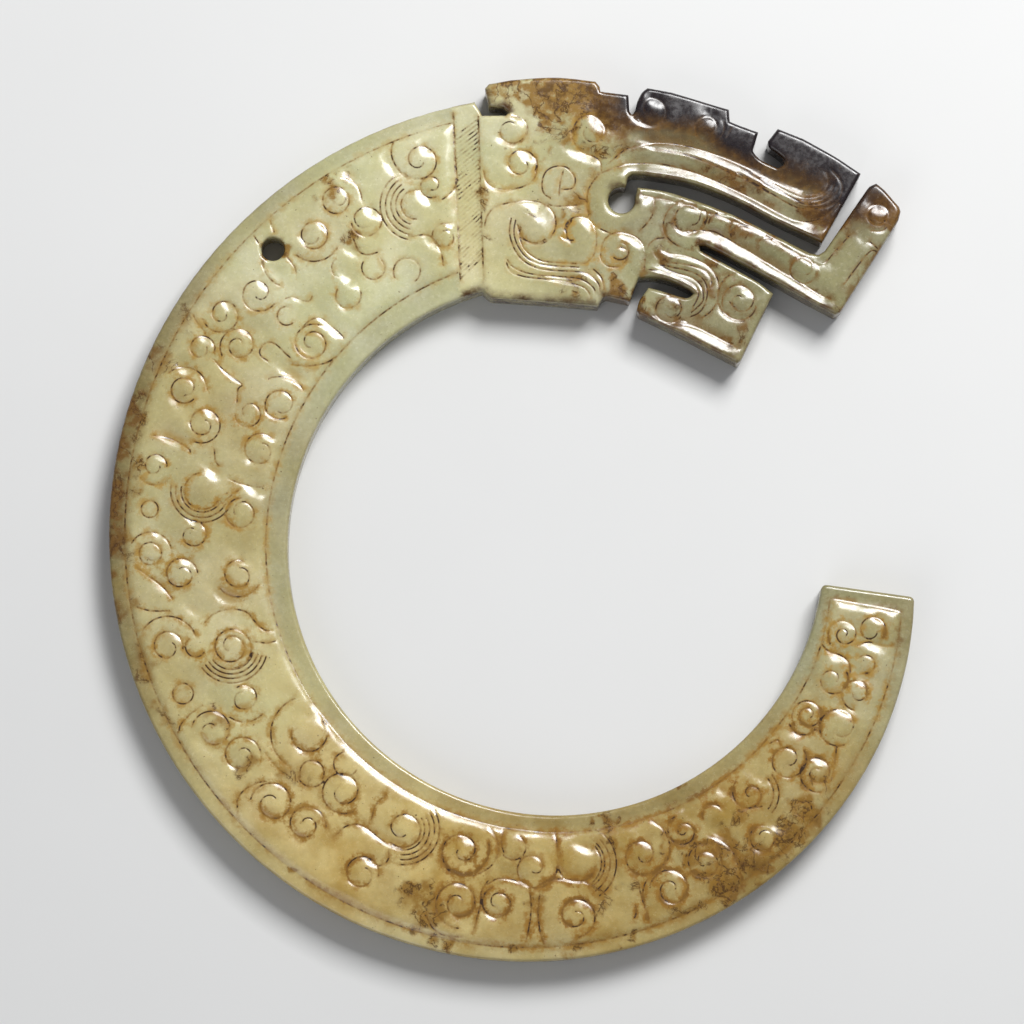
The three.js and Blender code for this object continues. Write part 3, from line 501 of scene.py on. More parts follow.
# Steep polished shoulders of the raised scrolls: how deep the ground falls in front of them, and for each
# depth the lines that they run along.
BODY_SHOULDERS = {
    0.38: [
        [(-44.6, 12.5), (-41.1, 10.9)], [(-45.2, -4.1), (-42.9, -5.7)],
        [(-38.5, -5.2), (-37.2, -6.2), (-35.5, -6.7)], [(-21.7, 38.2), (-20.3, 37.0)],
        [(-31.3, 19.9), (-28.4, 18.1)],
    ],
    0.35: [
        [(-39.4, 8.6), (-37.5, 7.6)], [(-34.8, 6.3), (-32.7, 5.5)], [(-41.5, -7.1), (-39.8, -8.0)],
        [(-29.4, -22.5), (-27.8, -23.6)], [(-24.3, 42.3), (-22.5, 40.8)],
        [(-26.7, 36.6), (-25.7, 35.6)], [(-26.8, 25.6), (-24.2, 23.4)], [(-40.1, 23.6), (-38.8, 22.7)],
        [(-42.8, 20.3), (-40.6, 18.9)], [(-39.5, 15.3), (-37.7, 14.3)],
        [(-22.2, -31.1), (-19.2, -33.2), (-16.6, -34.0)], [(-6.1, -36.9), (-3.4, -38.0)],
        [(16.9, -32.0), (18.7, -33.1)], [(31.1, -18.1), (33.2, -19.0)],
    ],
    0.33: [
        [(-35.3, 9.6), (-33.4, 8.8)], [(-38.4, -18.2), (-37.0, -19.0)],
        [(-39.95, -22.4), (-38.1, -23.4)], [(-36.8, -24.5), (-35.4, -25.4)],
        [(-28.1, -17.3), (-26.7, -18.9)], [(-27.1, -28.8), (-25.3, -30.1)],
        [(-15.4, 45.1), (-14.2, 44.2)], [(-19.9, 44.9), (-18.8, 44.2)],
        [(-19.7, 43.8), (-18.4, 42.0), (-16.8, 41.1)], [(-15.5, 39.6), (-14.4, 38.4)],
        [(-29.4, 35.0), (-27.9, 33.6)], [(-24.0, 30.2), (-22.5, 29.3)], [(-37.6, 27.3), (-36.6, 26.3)],
        [(-29.1, 22.5), (-27.3, 21.1)], [(-43.7, 16.7), (-42.0, 15.1)],
        [(-29.9, -32.4), (-28.4, -33.5)], [(-11.7, -37.4), (-10.0, -38.1)],
        [(-8.5, -41.1), (-6.1, -42.1)], [(23.3, -30.9), (24.5, -32.0)], [(12.4, -35.9), (13.6, -36.9)],
        [(35.2, -7.9), (36.3, -8.7)], [(34.4, -11.2), (36.8, -11.9)], [(30.2, -12.2), (31.9, -12.8)],
        [(33.2, -14.6), (34.5, -15.5)],
    ],
    0.31: [
        [(-32.7, 12.4), (-31.2, 11.7)], [(-41.1, 2.6), (-39.7, 2.0)], [(-45.1, 1.2), (-44.0, 0.65)],
        [(-41.8, -1.95), (-40.0, -2.5)], [(-36.1, -1.3), (-34.8, -2.2)], [(-36.6, -8.9), (-34.3, -9.7)],
        [(-31.6, -26.3), (-30.5, -27.2)], [(-33.2, -30.5), (-31.9, -31.1)],
        [(-15.1, 34.7), (-13.5, 33.2)], [(-24.6, 26.7), (-23.2, 25.9)], [(-35.7, 24.5), (-33.9, 23.5)],
        [(-36.7, 21.1), (-35.2, 20.2)], [(-32.6, 14.7), (-29.8, 13.8)],
        [(-21.5, -35.0), (-20.0, -35.9)], [(-10.8, -32.4), (-9.4, -33.4)],
        [(-5.8, -31.6), (-0.5, -32.6)], [(1.4, -32.3), (6.4, -32.0)], [(2.3, -33.8), (3.9, -34.3)],
        [(-0.1, -36.9), (3.7, -37.7)], [(9.0, -32.7), (10.3, -33.6)], [(10.3, -30.6), (11.5, -31.6)],
        [(17.6, -27.1), (18.9, -28.1)], [(21.8, -26.0), (22.9, -26.7)], [(28.4, -23.9), (29.7, -24.5)],
        [(25.5, -20.7), (27.0, -21.6)],
    ],
    0.29: [
        [(-46.7, -2.4), (-45.2, -3.2)], [(-35.1, -15.8), (-34.0, -16.3)],
        [(-34.2, -21.5), (-33.0, -22.2)], [(-33.6, 29.7), (-32.5, 28.9)],
        [(-23.6, -25.9), (-22.5, -26.7)], [(-17.0, -29.9), (-15.9, -30.6)],
        [(2.1, -39.6), (3.6, -40.4)],
    ],
    0.27: [
        [(-44.9, 9.9), (-43.9, 9.5)], [(-42.7, -10.3), (-41.8, -10.7)], [(-24.3, 33.6), (-22.0, 32.1)],
        [(-38.1, 20.5), (-35.2, 18.1)], [(-41.7, 14.2), (-40.8, 13.0)],
        [(-23.8, -37.4), (-22.2, -38.1)], [(-11.8, -41.6), (-10.5, -42.3)],
        [(14.3, -30.6), (15.2, -31.2)], [(21.6, -34.1), (22.8, -34.7)], [(11.9, -39.7), (13.0, -40.2)],
    ],
    0.25: [
        [(-12.2, 39.5), (-11.4, 38.7)], [(-29.7, 28.0), (-28.5, 27.2)], [(-2.7, -34.3), (-1.7, -35.1)],
        [(25.5, -25.8), (26.4, -27.2)], [(31.9, -8.8), (32.9, -9.4)], [(28.2, -17.8), (28.9, -18.1)],
    ],
    0.23: [
        [(-30.5, 32.9), (-28.4, 31.4)], [(-22.1, 34.6), (-21.3, 34.1)], [(-41.6, 22.1), (-40.6, 21.2)],
        [(7.7, -36.5), (8.6, -37.4)],
    ],
    0.21: [
        [(-33.1, 31.8), (-31.0, 29.4)], [(-12.6, 36.5), (-12.0, 36.0)], [(16.3, -34.2), (17.2, -34.5)],
    ],
    0.19: [
        [(-28.0, -19.5), (-27.1, -19.9)], [(-24.4, 40.4), (-23.4, 39.6)],
        [(-32.6, 36.4), (-32.0, 35.3)], [(-34.1, 35.0), (-33.0, 33.7)], [(-30.6, 17.4), (-29.8, 16.9)],
        [(-6.4, -38.5), (-5.1, -38.8)], [(10.7, -41.0), (11.6, -41.5)],
    ],
    0.17: [
        [(-41.9, 4.9), (-40.2, 4.2)], [(-36.6, -4.1), (-34.6, -4.5)], [(-32.9, -9.2), (-31.9, -9.6)],
        [(-44.6, -11.9), (-43.6, -12.6)], [(-29.0, -26.3), (-27.4, -26.7)],
        [(-39.0, 26.0), (-37.9, 25.3)], [(-35.4, 27.2), (-34.0, 26.3)], [(-33.2, 21.6), (-32.3, 20.8)],
        [(-35.6, 14.1), (-34.6, 13.6)], [(-24.3, -30.2), (-23.3, -30.6)],
        [(-10.7, -36.1), (-8.9, -36.6)],
    ],
}
HEAD_SHOULDERS = {
    0.5: [
        [(9.8, 45.4), (12, 45.3), (15, 44.9), (17.5, 44.1), (20, 43.2), (22, 42.4), (24, 41.3),
         (26, 40.4), (28.5, 39.6)],
    ],
    0.46: [
        [(8.2, 42.8), (10, 42.9), (12, 42.5), (14, 42.1), (16, 41.6), (18, 40.8), (20, 39.9),
         (22, 39.0), (24, 37.9), (26, 36.9), (28, 36.1), (29.8, 35.7)],
    ],
    0.44: [
        [(14, 35.2), (16, 35.3), (17.5, 35), (19, 34.4), (21, 33.3), (23, 32.2), (25, 30.9), (27, 29.7),
         (29, 28.4), (30.7, 27.3)],
        [(11, 25.7), (13, 25), (14.5, 25.1), (16, 24.3), (18, 23.2), (20, 22.2)],
    ],
    0.38: [
        [(7, 35.2), (8.4, 34.8), (9.5, 33.8)],
    ],
    0.35: [
        [(-4, 38.9), (-0.8, 38.1)],
    ],
    0.33: [
        [(18.2, 26.2), (19.4, 25.5), (20.9, 25.2)], [(35.2, 38.1), (36.6, 37.6)],
        [(-5.3, 48.7), (-3.6, 48.0)], [(-4.1, 44.1), (-2.6, 43.4)], [(3.9, 48.5), (5.3, 46.9)],
        [(1.2, 44.6), (3, 43.9), (4.8, 43.3)],
    ],
    0.31: [
        [(12.2, 33.2), (14.5, 32.4), (16.5, 31.6), (17.5, 30.5)], [(20.8, 28.8), (22, 28.0)],
    ],
    0.29: [
        [(-7.1, 45.9), (-5.3, 45.1)], [(16.5, 48.7), (17.7, 48)],
    ],
    0.27: [
        [(17.8, 37.7), (19.5, 37.0)], [(20.3, 36.6), (22, 35.6)], [(23, 35.4), (25.5, 33.9)],
        [(26, 33.6), (29.8, 31.5)], [(14.2, 38.3), (16, 38.1)],
        [(11, 31.2), (13, 30.6), (15, 29.7), (15.6, 29.0)], [(36.1, 35.0), (37.2, 35.3)],
        [(10.3, 50.4), (11.8, 49.6)], [(8.8, 48), (9.8, 47.5), (10.8, 47.3)],
        [(30.8, 40.2), (31.4, 40.9)],
    ],
    0.25: [
        [(-6.1, 42.7), (-4.5, 41.9)],
    ],
    0.23: [
        [(11.2, 33.8), (12.3, 32.7)], [(33.6, 34.9), (34.4, 34.0)], [(-1, 31.2), (2.5, 31), (4.5, 30)],
    ],
    0.21: [
        [(9.9, 39.5), (11, 39.3), (13, 39.1), (15, 38.8), (16.2, 38.4)], [(13.2, 34), (15.8, 33.4)],
        [(-7.6, 40.5), (-5.2, 40.2)], [(2.0, 37.4), (2.8, 37.2)], [(0.8, 35.1), (2.1, 34.5)],
        [(-0.5, 29.9), (2.5, 29.5)],
    ],
    0.19: [
        [(12.6, 27.6), (13.3, 27.2)], [(-2.8, 37.5), (-2, 37.1)], [(-3.6, 33), (-1, 32.2), (3, 31.9)],
    ],
    0.17: [
        [(19.5, 27.7), (20.2, 27.1)], [(6, 31.7), (7.1, 31.1)],
    ],
}


def nearest(points):
    """A function that gives, for each place, the index of the nearest of some points and its distance."""
    tree = kdtree.KDTree(len(points))
    for index, (x, y) in enumerate(points):
        tree.insert((x, y, 0), index)
    tree.balance()

    def find(places):
        found = [tree.find((x, y, 0))[1:] for x, y in places]
        return np.array([f[0] for f in found], int), np.array([f[1] for f in found])
    return find


# Large odd numbers that scatter a place's column and row, and the bits that are kept of the result.
HASH_COLUMN, HASH_ROW, HASH_SEED, HASH_MIX = 374761393, 668265263, 982451653, 1274126177
HASH_BITS, VALUE_BITS = 0xFFFFFFFF, 0xFFFF


def lattice(column, row, seed):
    """A repeatable random value from 0 to 1 for each whole-numbered place."""
    mixed = (column * HASH_COLUMN + row * HASH_ROW + seed * HASH_SEED) & HASH_BITS
    mixed = ((mixed ^ (mixed >> 13)) * HASH_MIX) & HASH_BITS
    return ((mixed ^ (mixed >> 16)) & VALUE_BITS) / VALUE_BITS


def across_cell(value_at, cell, part):
    """Values inside square cells, blended from their four corners."""
    x, y = cell[:, 0], cell[:, 1]
    low = value_at(x, y) * (1 - part[:, 0]) + value_at(x + 1, y) * part[:, 0]
    high = value_at(x, y + 1) * (1 - part[:, 0]) + value_at(x + 1, y + 1) * part[:, 0]
    return low * (1 - part[:, 1]) + high * part[:, 1]


def noise(places, size, seed):
    scaled = np.asarray(places) / size
    cell = np.floor(scaled).astype(np.int64)
    part = scaled - cell
    return across_cell(lambda x, y: lattice(x, y, seed), cell, part * part * (3 - 2 * part))


def clouds(places, size, seed, octaves=4):
    total = sum(noise(places, size / 2 ** k, seed + k) / 2 ** k for k in range(octaves))
    return total / sum(1 / 2 ** k for k in range(octaves))


def ease(low, high, value):
    t = np.clip((value - low) / (high - low), 0, 1)
    return t * t * (3 - 2 * t)


def inside(places, polygon):
    """Which places lie inside a closed outline, by counting the edges that a ray crosses."""
    within = np.zeros(len(places), bool)
    x, y = places[:, 0], places[:, 1]
    for (ax, ay), (bx, by) in zip(polygon, np.roll(polygon, -1, axis=0)):
        spans = (ay > y) != (by > y)
        if spans.any():
            crossing = ax + (y[spans] - ay) * (bx - ax) / (by - ay)
            within[spans] ^= x[spans] < crossing
    return within


def border_lines():
    """The lines that part the plain borders from the carved field, and the one across the tail."""
    runs = []
    for start, radius_at in ((FIELD_START_INSIDE, inner_border), (FIELD_START, outer_border)):
        angles = np.linspace(start, FIELD_END, BORDER_STEPS)
        runs.append(polar(angles, radius_at(angles)))
    inner, outer = runs
    return [resample(line, LINE_STEP) for line in (inner, outer, [inner[-1], outer[-1]])]


def collar_strokes():
    """The slanting strokes of the collar, from its top to its foot."""
    (top_left, foot_left), (top_right, foot_right) = np.array([COLLAR_BODY_SIDE, COLLAR_HEAD_SIDE])
    strokes = []
    for step in range(COLLAR_STROKES):
        high = (1 - COLLAR_SLANT) * (step + 0.5) / COLLAR_STROKES
        left = top_left + (foot_left - top_left) * (high + COLLAR_SLANT)
        across = top_right + (foot_right - top_right) * high - left
        strokes.append(resample([left + across * share for share in STROKE_ENDS], LINE_STEP))
    return strokes


curls = (
    [(on_body(a, out), turn) for a, out, *turn in BODY_CURLS]
    + [(np.array((x, y)), turn) for x, y, *turn in HEAD_CURLS]
)
curl_lines = [spiral(centre, *turn) for centre, turn in curls]
hook_lines = [hook(centre, *turn) for centre, turn in curls if abs(turn[-1]) >= HOOK_LEAST]
collar_sides = [resample(side, LINE_STEP) for side in (COLLAR_BODY_SIDE, COLLAR_HEAD_SIDE)]
frame_lines = border_lines() + collar_sides
seam_lines = (
    [smooth(line) for line in BODY_SEAMS + HEAD_SEAMS]
    + [arc(on_body(a, out), radius, start, end) for a, out, radius, start, end in BAND_ARCS]
)
hair_lines = (
    [arc(on_body(a, out), radius, start, end)
     for a, out, radii, start, end in HAIR_ARCS for radius in radii]
    + [smooth(line) for line in BODY_SCRATCHES + HEAD_SCRATCHES]
)
scratched_curls = [spiral(on_body(a, out), *turn) for a, out, *turn in FINE_CURLS]

# The kinds of incised line: the lines, their depth, their dark residue and the strength of their halo.
LINE_KINDS = [
    (frame_lines, MAIN_GROOVE, 0.15, 0.65),
    (seam_lines, MAIN_GROOVE, 0.4, 0.9),
    (curl_lines, MAIN_GROOVE, 0.5, 1.0),
    (hook_lines, FINE_GROOVE, 0.7, 0.35),
    (hair_lines, FINE_GROOVE, 0.9, 0.6),
    (scratched_curls, FINE_GROOVE, 0.5, 0.8),
    (collar_strokes(), COLLAR_GROOVE, 0.2, 0.3),
]
all_lines = [line for lines, *_ in LINE_KINDS for line in lines]
line_depth, line_residue, line_halo = (
    np.concatenate([np.full(len(line), kind[place]) for kind in LINE_KINDS for line in kind[0]])
    for place in (1, 2, 3))
roll_lines = [
    (JAW_ROLL_HALF_WIDTH, JAW_ROLL_RISE, smooth(JAW_ROLL)),
    (MOUTH_RING_HALF_WIDTH, MOUTH_RING_RISE, arc(MOUTH_CORNER, MOUTH_RING_RADIUS, *MOUTH_RING_ENDS)),
]

RIM = outline()
HOLE = on_body(HOLE_ANGLE, HOLE_OUT) + polar(np.arange(HOLE_POINTS) * 360 / HOLE_POINTS, HOLE_RADIUS)
EDGE_POINTS = np.vstack([resample(np.vstack([RIM, RIM[:1]]), LINE_STEP / 2), HOLE])
find_edge = nearest(EDGE_POINTS)
find_border = nearest(np.vstack(frame_lines))
find_seam = nearest(np.vstack(seam_lines))
find_curl = nearest(np.vstack(curl_lines))
find_any = nearest(np.vstack(all_lines))
back_lines = curl_lines + frame_lines
find_back = nearest(np.vstack(back_lines))
find_roll = nearest(np.vstack([line for _, _, line in roll_lines]))
roll_half = np.concatenate([np.full(len(line), half) for half, _, line in roll_lines])
roll_rise = np.concatenate([np.full(len(line), rise) for _, rise, line in roll_lines])


def angle_round(places):
    return np.degrees(np.arctan2(places[:, 1], places[:, 0])) % 360


def right_of(places, side):
    """How far the places lie to the right of a nearly upright line."""
    side = np.array(side)
    return places[:, 0] - np.interp(-places[:, 1], -side[:, 1], side[:, 0])


def on_head(places):
    """True on the head and the collar, not on the body."""
    return (right_of(places, COLLAR_BODY_SIDE) > 0) & (places[:, 1] > HEAD_LOW)


def collar_share(places):
    """1 on the flat collar, easing to 0 at both its sides."""
    depth = np.minimum(right_of(places, COLLAR_BODY_SIDE), -right_of(places, COLLAR_HEAD_SIDE))
    return ease(*COLLAR_EASE, depth) * (places[:, 1] > HEAD_LOW)


def field_share(places, low=-FIELD_EASE, high=FIELD_EASE):
    """1 in the carved field and on the head, 0 on the plain borders, easing across the border line."""
    angle, radius = angle_round(places), np.hypot(*places.T)
    depth = np.minimum(radius - inner_border(angle), outer_border(angle) - radius)
    depth = np.minimum(depth, np.radians(FIELD_END - angle) * radius)
    return np.where(on_head(places), 1.0, ease(low, high, depth))


def domes(places):
    """1 at the crown of the boss inside each curl, falling to 0 at the start of its spiral."""
    share = np.zeros(len(places))
    for centre, (radius, *_) in curls:
        share = np.maximum(share, 1 - ((places - centre) ** 2).sum(axis=1) / radius ** 2)
    return share


def mounds(places):
    """The broad raised scroll that each curl winds on: 1 on top, 0 on the sunk ground between."""
    _, gap = find_curl(places)
    return np.maximum(ease(MOUND_FOOT, MOUND_SHOULDER, gap), ease(0.0, DOME_SPREAD, domes(places)))


def edge_drop(places, radius):
    """How far the surface falls away where the edge is rounded and worn."""
    _, gap = find_edge(places)
    worn = radius * (1 + EDGE_WEAR * (clouds(places, WEAR_SIZE, SEED) - 0.5))
    short = np.clip(worn - gap, 0, None)
    return worn - np.sqrt(np.clip(worn ** 2 - short ** 2, 0, None))


def valley(gap, reach):
    """A rounded fall towards a line: 1 on it, 0 where its reach ends."""
    return np.clip(1 - gap / reach, 0, 1) ** 2


def cuts(places):
    """How deep the ground is cut away beside the borders, the seams and the curls."""
    _, border_gap = find_border(places)
    _, seam_gap = find_seam(places)
    _, curl_gap = find_curl(places)
    head = on_head(places)
    edge = BORDER_EDGE * np.clip(1 - border_gap / BORDER_EDGE_REACH, 0, 1) * ~head
    border = BORDER_VALLEY + (edge - BORDER_VALLEY) * field_share(places)
    reach = np.where(head, HEAD_REACH, SEAM_REACH)
    seam = np.where(head, HEAD_VALLEY, SEAM_VALLEY) * valley(seam_gap, reach)
    inner = field_share(places, 0.0, INSIDE_BLEND) * (1 - collar_share(places))
    return np.maximum(border, inner * np.maximum(seam, CURL_VALLEY * valley(curl_gap, CURL_REACH)))


def sideways(line):
    """Unit steps across a line, to its left, at each of its points."""
    along = np.gradient(line, axis=0)
    return np.stack([-along[:, 1], along[:, 0]], axis=-1) / np.hypot(*along.T)[:, None]


def shoulder_cut(places, depth, line):
    """How deep the ground falls in front of a shoulder: steep on its side, gentle beyond its foot."""
    line = np.array(line, float)
    across = sideways(line)
    across *= np.sign((across @ polar(SHOULDER_FACING, 1.0)).mean())
    foot = line + SHOULDER_FOOT * across
    lengths = np.hypot(*np.diff(foot, axis=0).T)
    starts = np.concatenate([[0], np.cumsum(lengths)])
    gap, facing, end_gap = np.full(len(places), np.inf), np.zeros(len(places)), np.zeros(len(places))
    for start, end, normal, length, before in zip(foot, foot[1:], across, lengths, starts):
        share = np.clip((places - start) @ (end - start) / length ** 2, 0, 1)
        offset = places - start - share[:, None] * (end - start)
        distance = np.hypot(*offset.T)
        nearer = distance < gap
        facing = np.where(nearer, offset @ normal / np.maximum(distance, TINY), facing)
        passed = before + share * length
        end_gap = np.where(nearer, np.minimum(passed, starts[-1] - passed), end_gap)
        gap = np.minimum(gap, distance)
    full = depth * (SHOULDER_END + (1 - SHOULDER_END) * ease(0, SHOULDER_TAPER, end_gap))
    steep = np.clip(full - SHOULDER_SLOPE * gap, 0, None)
    beyond = ease(-SHOULDER_TURN, SHOULDER_TURN, facing)
    return steep + (full * valley(gap, SHOULDER_FAR) - steep) * beyond


def raised(places):
    """Height of the polished raised forms before anything is cut away from them."""
    roll, roll_gap = find_roll(places)
    share = field_share(places)
    crown = BORDER_CROWN + (FIELD_CROWN - BORDER_CROWN) * share
    crown = crown + (COLLAR_CROWN - crown) * collar_share(places)
    bosses = MOUND_RISE * mounds(places) + DOME_RISE * domes(places)
    bosses = share * (1 - collar_share(places)) * bosses
    rolls = roll_rise[roll] * np.exp(-(roll_gap / roll_half[roll]) ** 2)
    wander = WANDER * (clouds(places, WANDER_SIZE, WANDER_SEED, WANDER_OCTAVES) - 0.5)
    return crown + bosses + rolls + wander


def relief_grid():
    """Grids of the front's height and of its cuts, smoothed as by polishing, and their low corner."""
    low, high = RIM.min(axis=0) - RELIEF_MARGIN, RIM.max(axis=0) + RELIEF_MARGIN
    columns, rows = (np.arange(low[axis], high[axis], RELIEF_STEP) for axis in (0, 1))
    places = np.stack(np.meshgrid(columns, rows), axis=-1)
    flat = places.reshape(-1, 2)
    cut = cuts(flat).reshape(places.shape[:2])
    shoulders = [(depth, line) for table in (BODY_SHOULDERS, HEAD_SHOULDERS)
                 for depth, lines in table.items() for line in lines]
    for depth, line in shoulders:
        near_box = np.min(line, axis=0) - SHOULDER_FAR, np.max(line, axis=0) + SHOULDER_FAR
        first, last = (np.floor((corner - low) / RELIEF_STEP).astype(int) for corner in near_box)
        window = tuple(slice(max(0, first[axis]), last[axis]) for axis in (1, 0))
        near = places[window]
        spread = near.reshape(-1, 2)
        carved = shoulder_cut(spread, depth, line) * field_share(spread) * (1 - collar_share(spread))
        cut[window] = np.maximum(cut[window], carved.reshape(near.shape[:2]))
    heights = raised(flat).reshape(cut.shape) - cut
    reach = np.arange(-SMOOTHING_CELLS, SMOOTHING_CELLS + 1) * RELIEF_STEP
    weights = np.exp(-0.5 * (reach / SMOOTHED) ** 2)
    weights /= weights.sum()
    for axis in (0, 1):
        heights, cut = (np.apply_along_axis(lambda run: np.convolve(run, weights, "same"), axis, grid)
                        for grid in (heights, cut))
    return heights, cut, low


RELIEF, RELIEF_CUT, RELIEF_LOW = relief_grid()


def from_grid(grid, places):
    scaled = (places - RELIEF_LOW) / RELIEF_STEP
    cell = np.floor(scaled).astype(int)
    return across_cell(lambda x, y: grid[y, x], cell, scaled - cell)


def front_height(places):
    line, line_gap = find_any(places)
    groove = line_depth[line] * np.exp(-(line_gap / GROOVE_WIDTH) ** 2)
    relief = np.minimum(from_grid(RELIEF, places), TOP_LIMIT)
    return relief - groove - edge_drop(places, EDGE_ROUND)


def back_height(places):
    """The plainer hidden side: the same scrolls, lower and without hair lines, on a resting border."""
    _, gap = find_back(places)
    share = field_share(places)
    sunk = BACK_SUNK * share * (1 - mounds(places) * (0.5 + 0.5 * domes(places)))
    fall = BACK_VALLEY * share * valley(gap, BACK_REACH)
    groove = BACK_GROOVE * np.exp(-(gap / (2 * GROOVE_WIDTH)) ** 2)
    return sunk + fall + groove + edge_drop(places, BACK_EDGE_ROUND)


def offset_rows(line, gap):
    across = gap * sideways(line)
    return [line + across, line - across]


def fill_points(step):
    low, high = RIM.min(axis=0), RIM.max(axis=0)
    columns, rows = np.arange(low[0], high[0], step), np.arange(low[1], high[1], step * FILL_ROW_SHARE)
    x, y = np.meshgrid(columns, rows)
    x = x + (np.arange(len(rows)) % 2)[:, None] * step / 2
    return np.stack([x.ravel(), y.ravel()], axis=-1)


def within_outline(places, corners, origins):
    """Which triangles belong to the piece. One with all its corners on the outline does if they follow
    each other counter-clockwise, and one with all its corners on the drilled hole doesn't."""
    rank = np.full(len(places), -1)
    for index, sources in enumerate(origins):
        if sources and min(sources) < len(RIM) + HOLE_POINTS:
            rank[index] = min(sources)
    ranks = rank[corners]
    on_edge = (ranks >= 0).all(axis=1)
    on_hole = on_edge & (ranks >= len(RIM)).all(axis=1)
    in_order = np.take_along_axis(corners, np.argsort(ranks, axis=1), axis=1)
    a, b, c = (places[in_order[:, k]] for k in range(3))
    turn = (b - a)[:, 0] * (c - a)[:, 1] - (b - a)[:, 1] * (c - a)[:, 0]
    return ~on_hole & (~on_edge | (turn > 0))


def triangulate(lines, find_line, every, side_rows, fill_step):
    """A flat net of triangles inside the outline, with its edges along the incised lines."""
    closed = np.vstack([RIM, RIM[:1]])
    points = [RIM, HOLE]
    edges = [(len(RIM) + i, len(RIM) + (i + 1) % HOLE_POINTS) for i in range(HOLE_POINTS)]
    count = len(RIM) + HOLE_POINTS
    for line in lines:
        line = line[::every]
        _, gap = find_edge(line)
        kept = (gap > OUTLINE_STEP) & inside(line, RIM)
        places = np.cumsum(kept) - 1 + count
        edges += [(int(a), int(a) + 1) for a, one, two in zip(places, kept, kept[1:]) if one and two]
        points.append(line[kept])
        count += kept.sum()
    loose = []
    for gap in side_rows:
        rows = np.vstack([row for line in lines if len(line[::every]) > 1
                          for row in offset_rows(line[::every], gap)])
        loose.append(rows[find_line(rows)[1] > SIDE_CLEAR * gap])
    for gap in EDGE_ROWS:
        for ring in (closed, np.vstack([HOLE, HOLE[:1]])):
            row = np.vstack(offset_rows(ring, gap))
            clear = (find_edge(row)[1] > EDGE_CLEAR * gap) & (find_line(row)[1] > side_rows[0] / 2)
            loose.append(row[clear])
    fill = fill_points(fill_step)
    loose.append(fill[(find_line(fill)[1] > side_rows[-1] + fill_step / 3)
                      & (find_edge(fill)[1] > EDGE_ROWS[-1] + fill_step / 3)])
    loose = np.vstack(loose)
    from_hole = np.hypot(*(loose - on_body(HOLE_ANGLE, HOLE_OUT)).T)
    loose = loose[inside(loose, RIM) & (from_hole > HOLE_RADIUS)]
    points.append(loose)
    flat = [Vector(p) for p in np.vstack(points)]
    made, _, faces, origins, _, _ = delaunay_2d_cdt(flat, edges, [list(range(len(RIM)))], 1, TINY, True)
    places = np.array([tuple(p) for p in made])
    corners = np.array(faces)
    corners = corners[within_outline(places, corners, origins)]
    used, corners = np.unique(corners, return_inverse=True)
    renamed = {old: new for new, old in enumerate(used)}
    shared = {source: renamed[index] for index, sources in enumerate(origins)
              for source in sources if index in renamed}
    rim = [shared[i] for i in range(len(RIM))]
    hole = [shared[len(RIM) + i] for i in range(HOLE_POINTS)]
    return places[used], corners.reshape(-1, 3), rim, hole


def carved_mesh():
    """The closed relief: front, back and the sawn walls between them, in the layout frame."""
    front, front_faces, front_rim, front_hole = triangulate(
        all_lines, find_any, MESH_EVERY, SIDE_ROWS, FILL_STEP)
    back, back_faces, back_rim, back_hole = triangulate(
        back_lines, find_back, BACK_EVERY, BACK_SIDE_ROWS, BACK_FILL_STEP)
    front_places = np.column_stack([front, front_height(front)])
    back_places = np.column_stack([back, back_height(back)])
    vertices = [front_places, back_places]
    faces = [tuple(f) for f in front_faces] + [tuple(f[::-1]) for f in back_faces + len(front)]
    count = len(front) + len(back)
    wall_from = count
    for top, foot in ((front_rim, back_rim), (front_hole[::-1], back_hole[::-1])):
        high, low = front_places[top], back_places[foot]
        rows = [np.array(top)]
        for step in range(1, WALL_ROWS):
            row = high + (low - high) * step / WALL_ROWS
            vertices.append(row)
            rows.append(np.arange(count, count + len(row)))
            count += len(row)
        rows.append(np.array(foot) + len(front))
        for upper, lower in zip(rows, rows[1:]):
            faces += list(zip(upper, lower, np.roll(lower, -1), np.roll(upper, -1)))
    return np.vstack(vertices), faces, len(front), wall_from


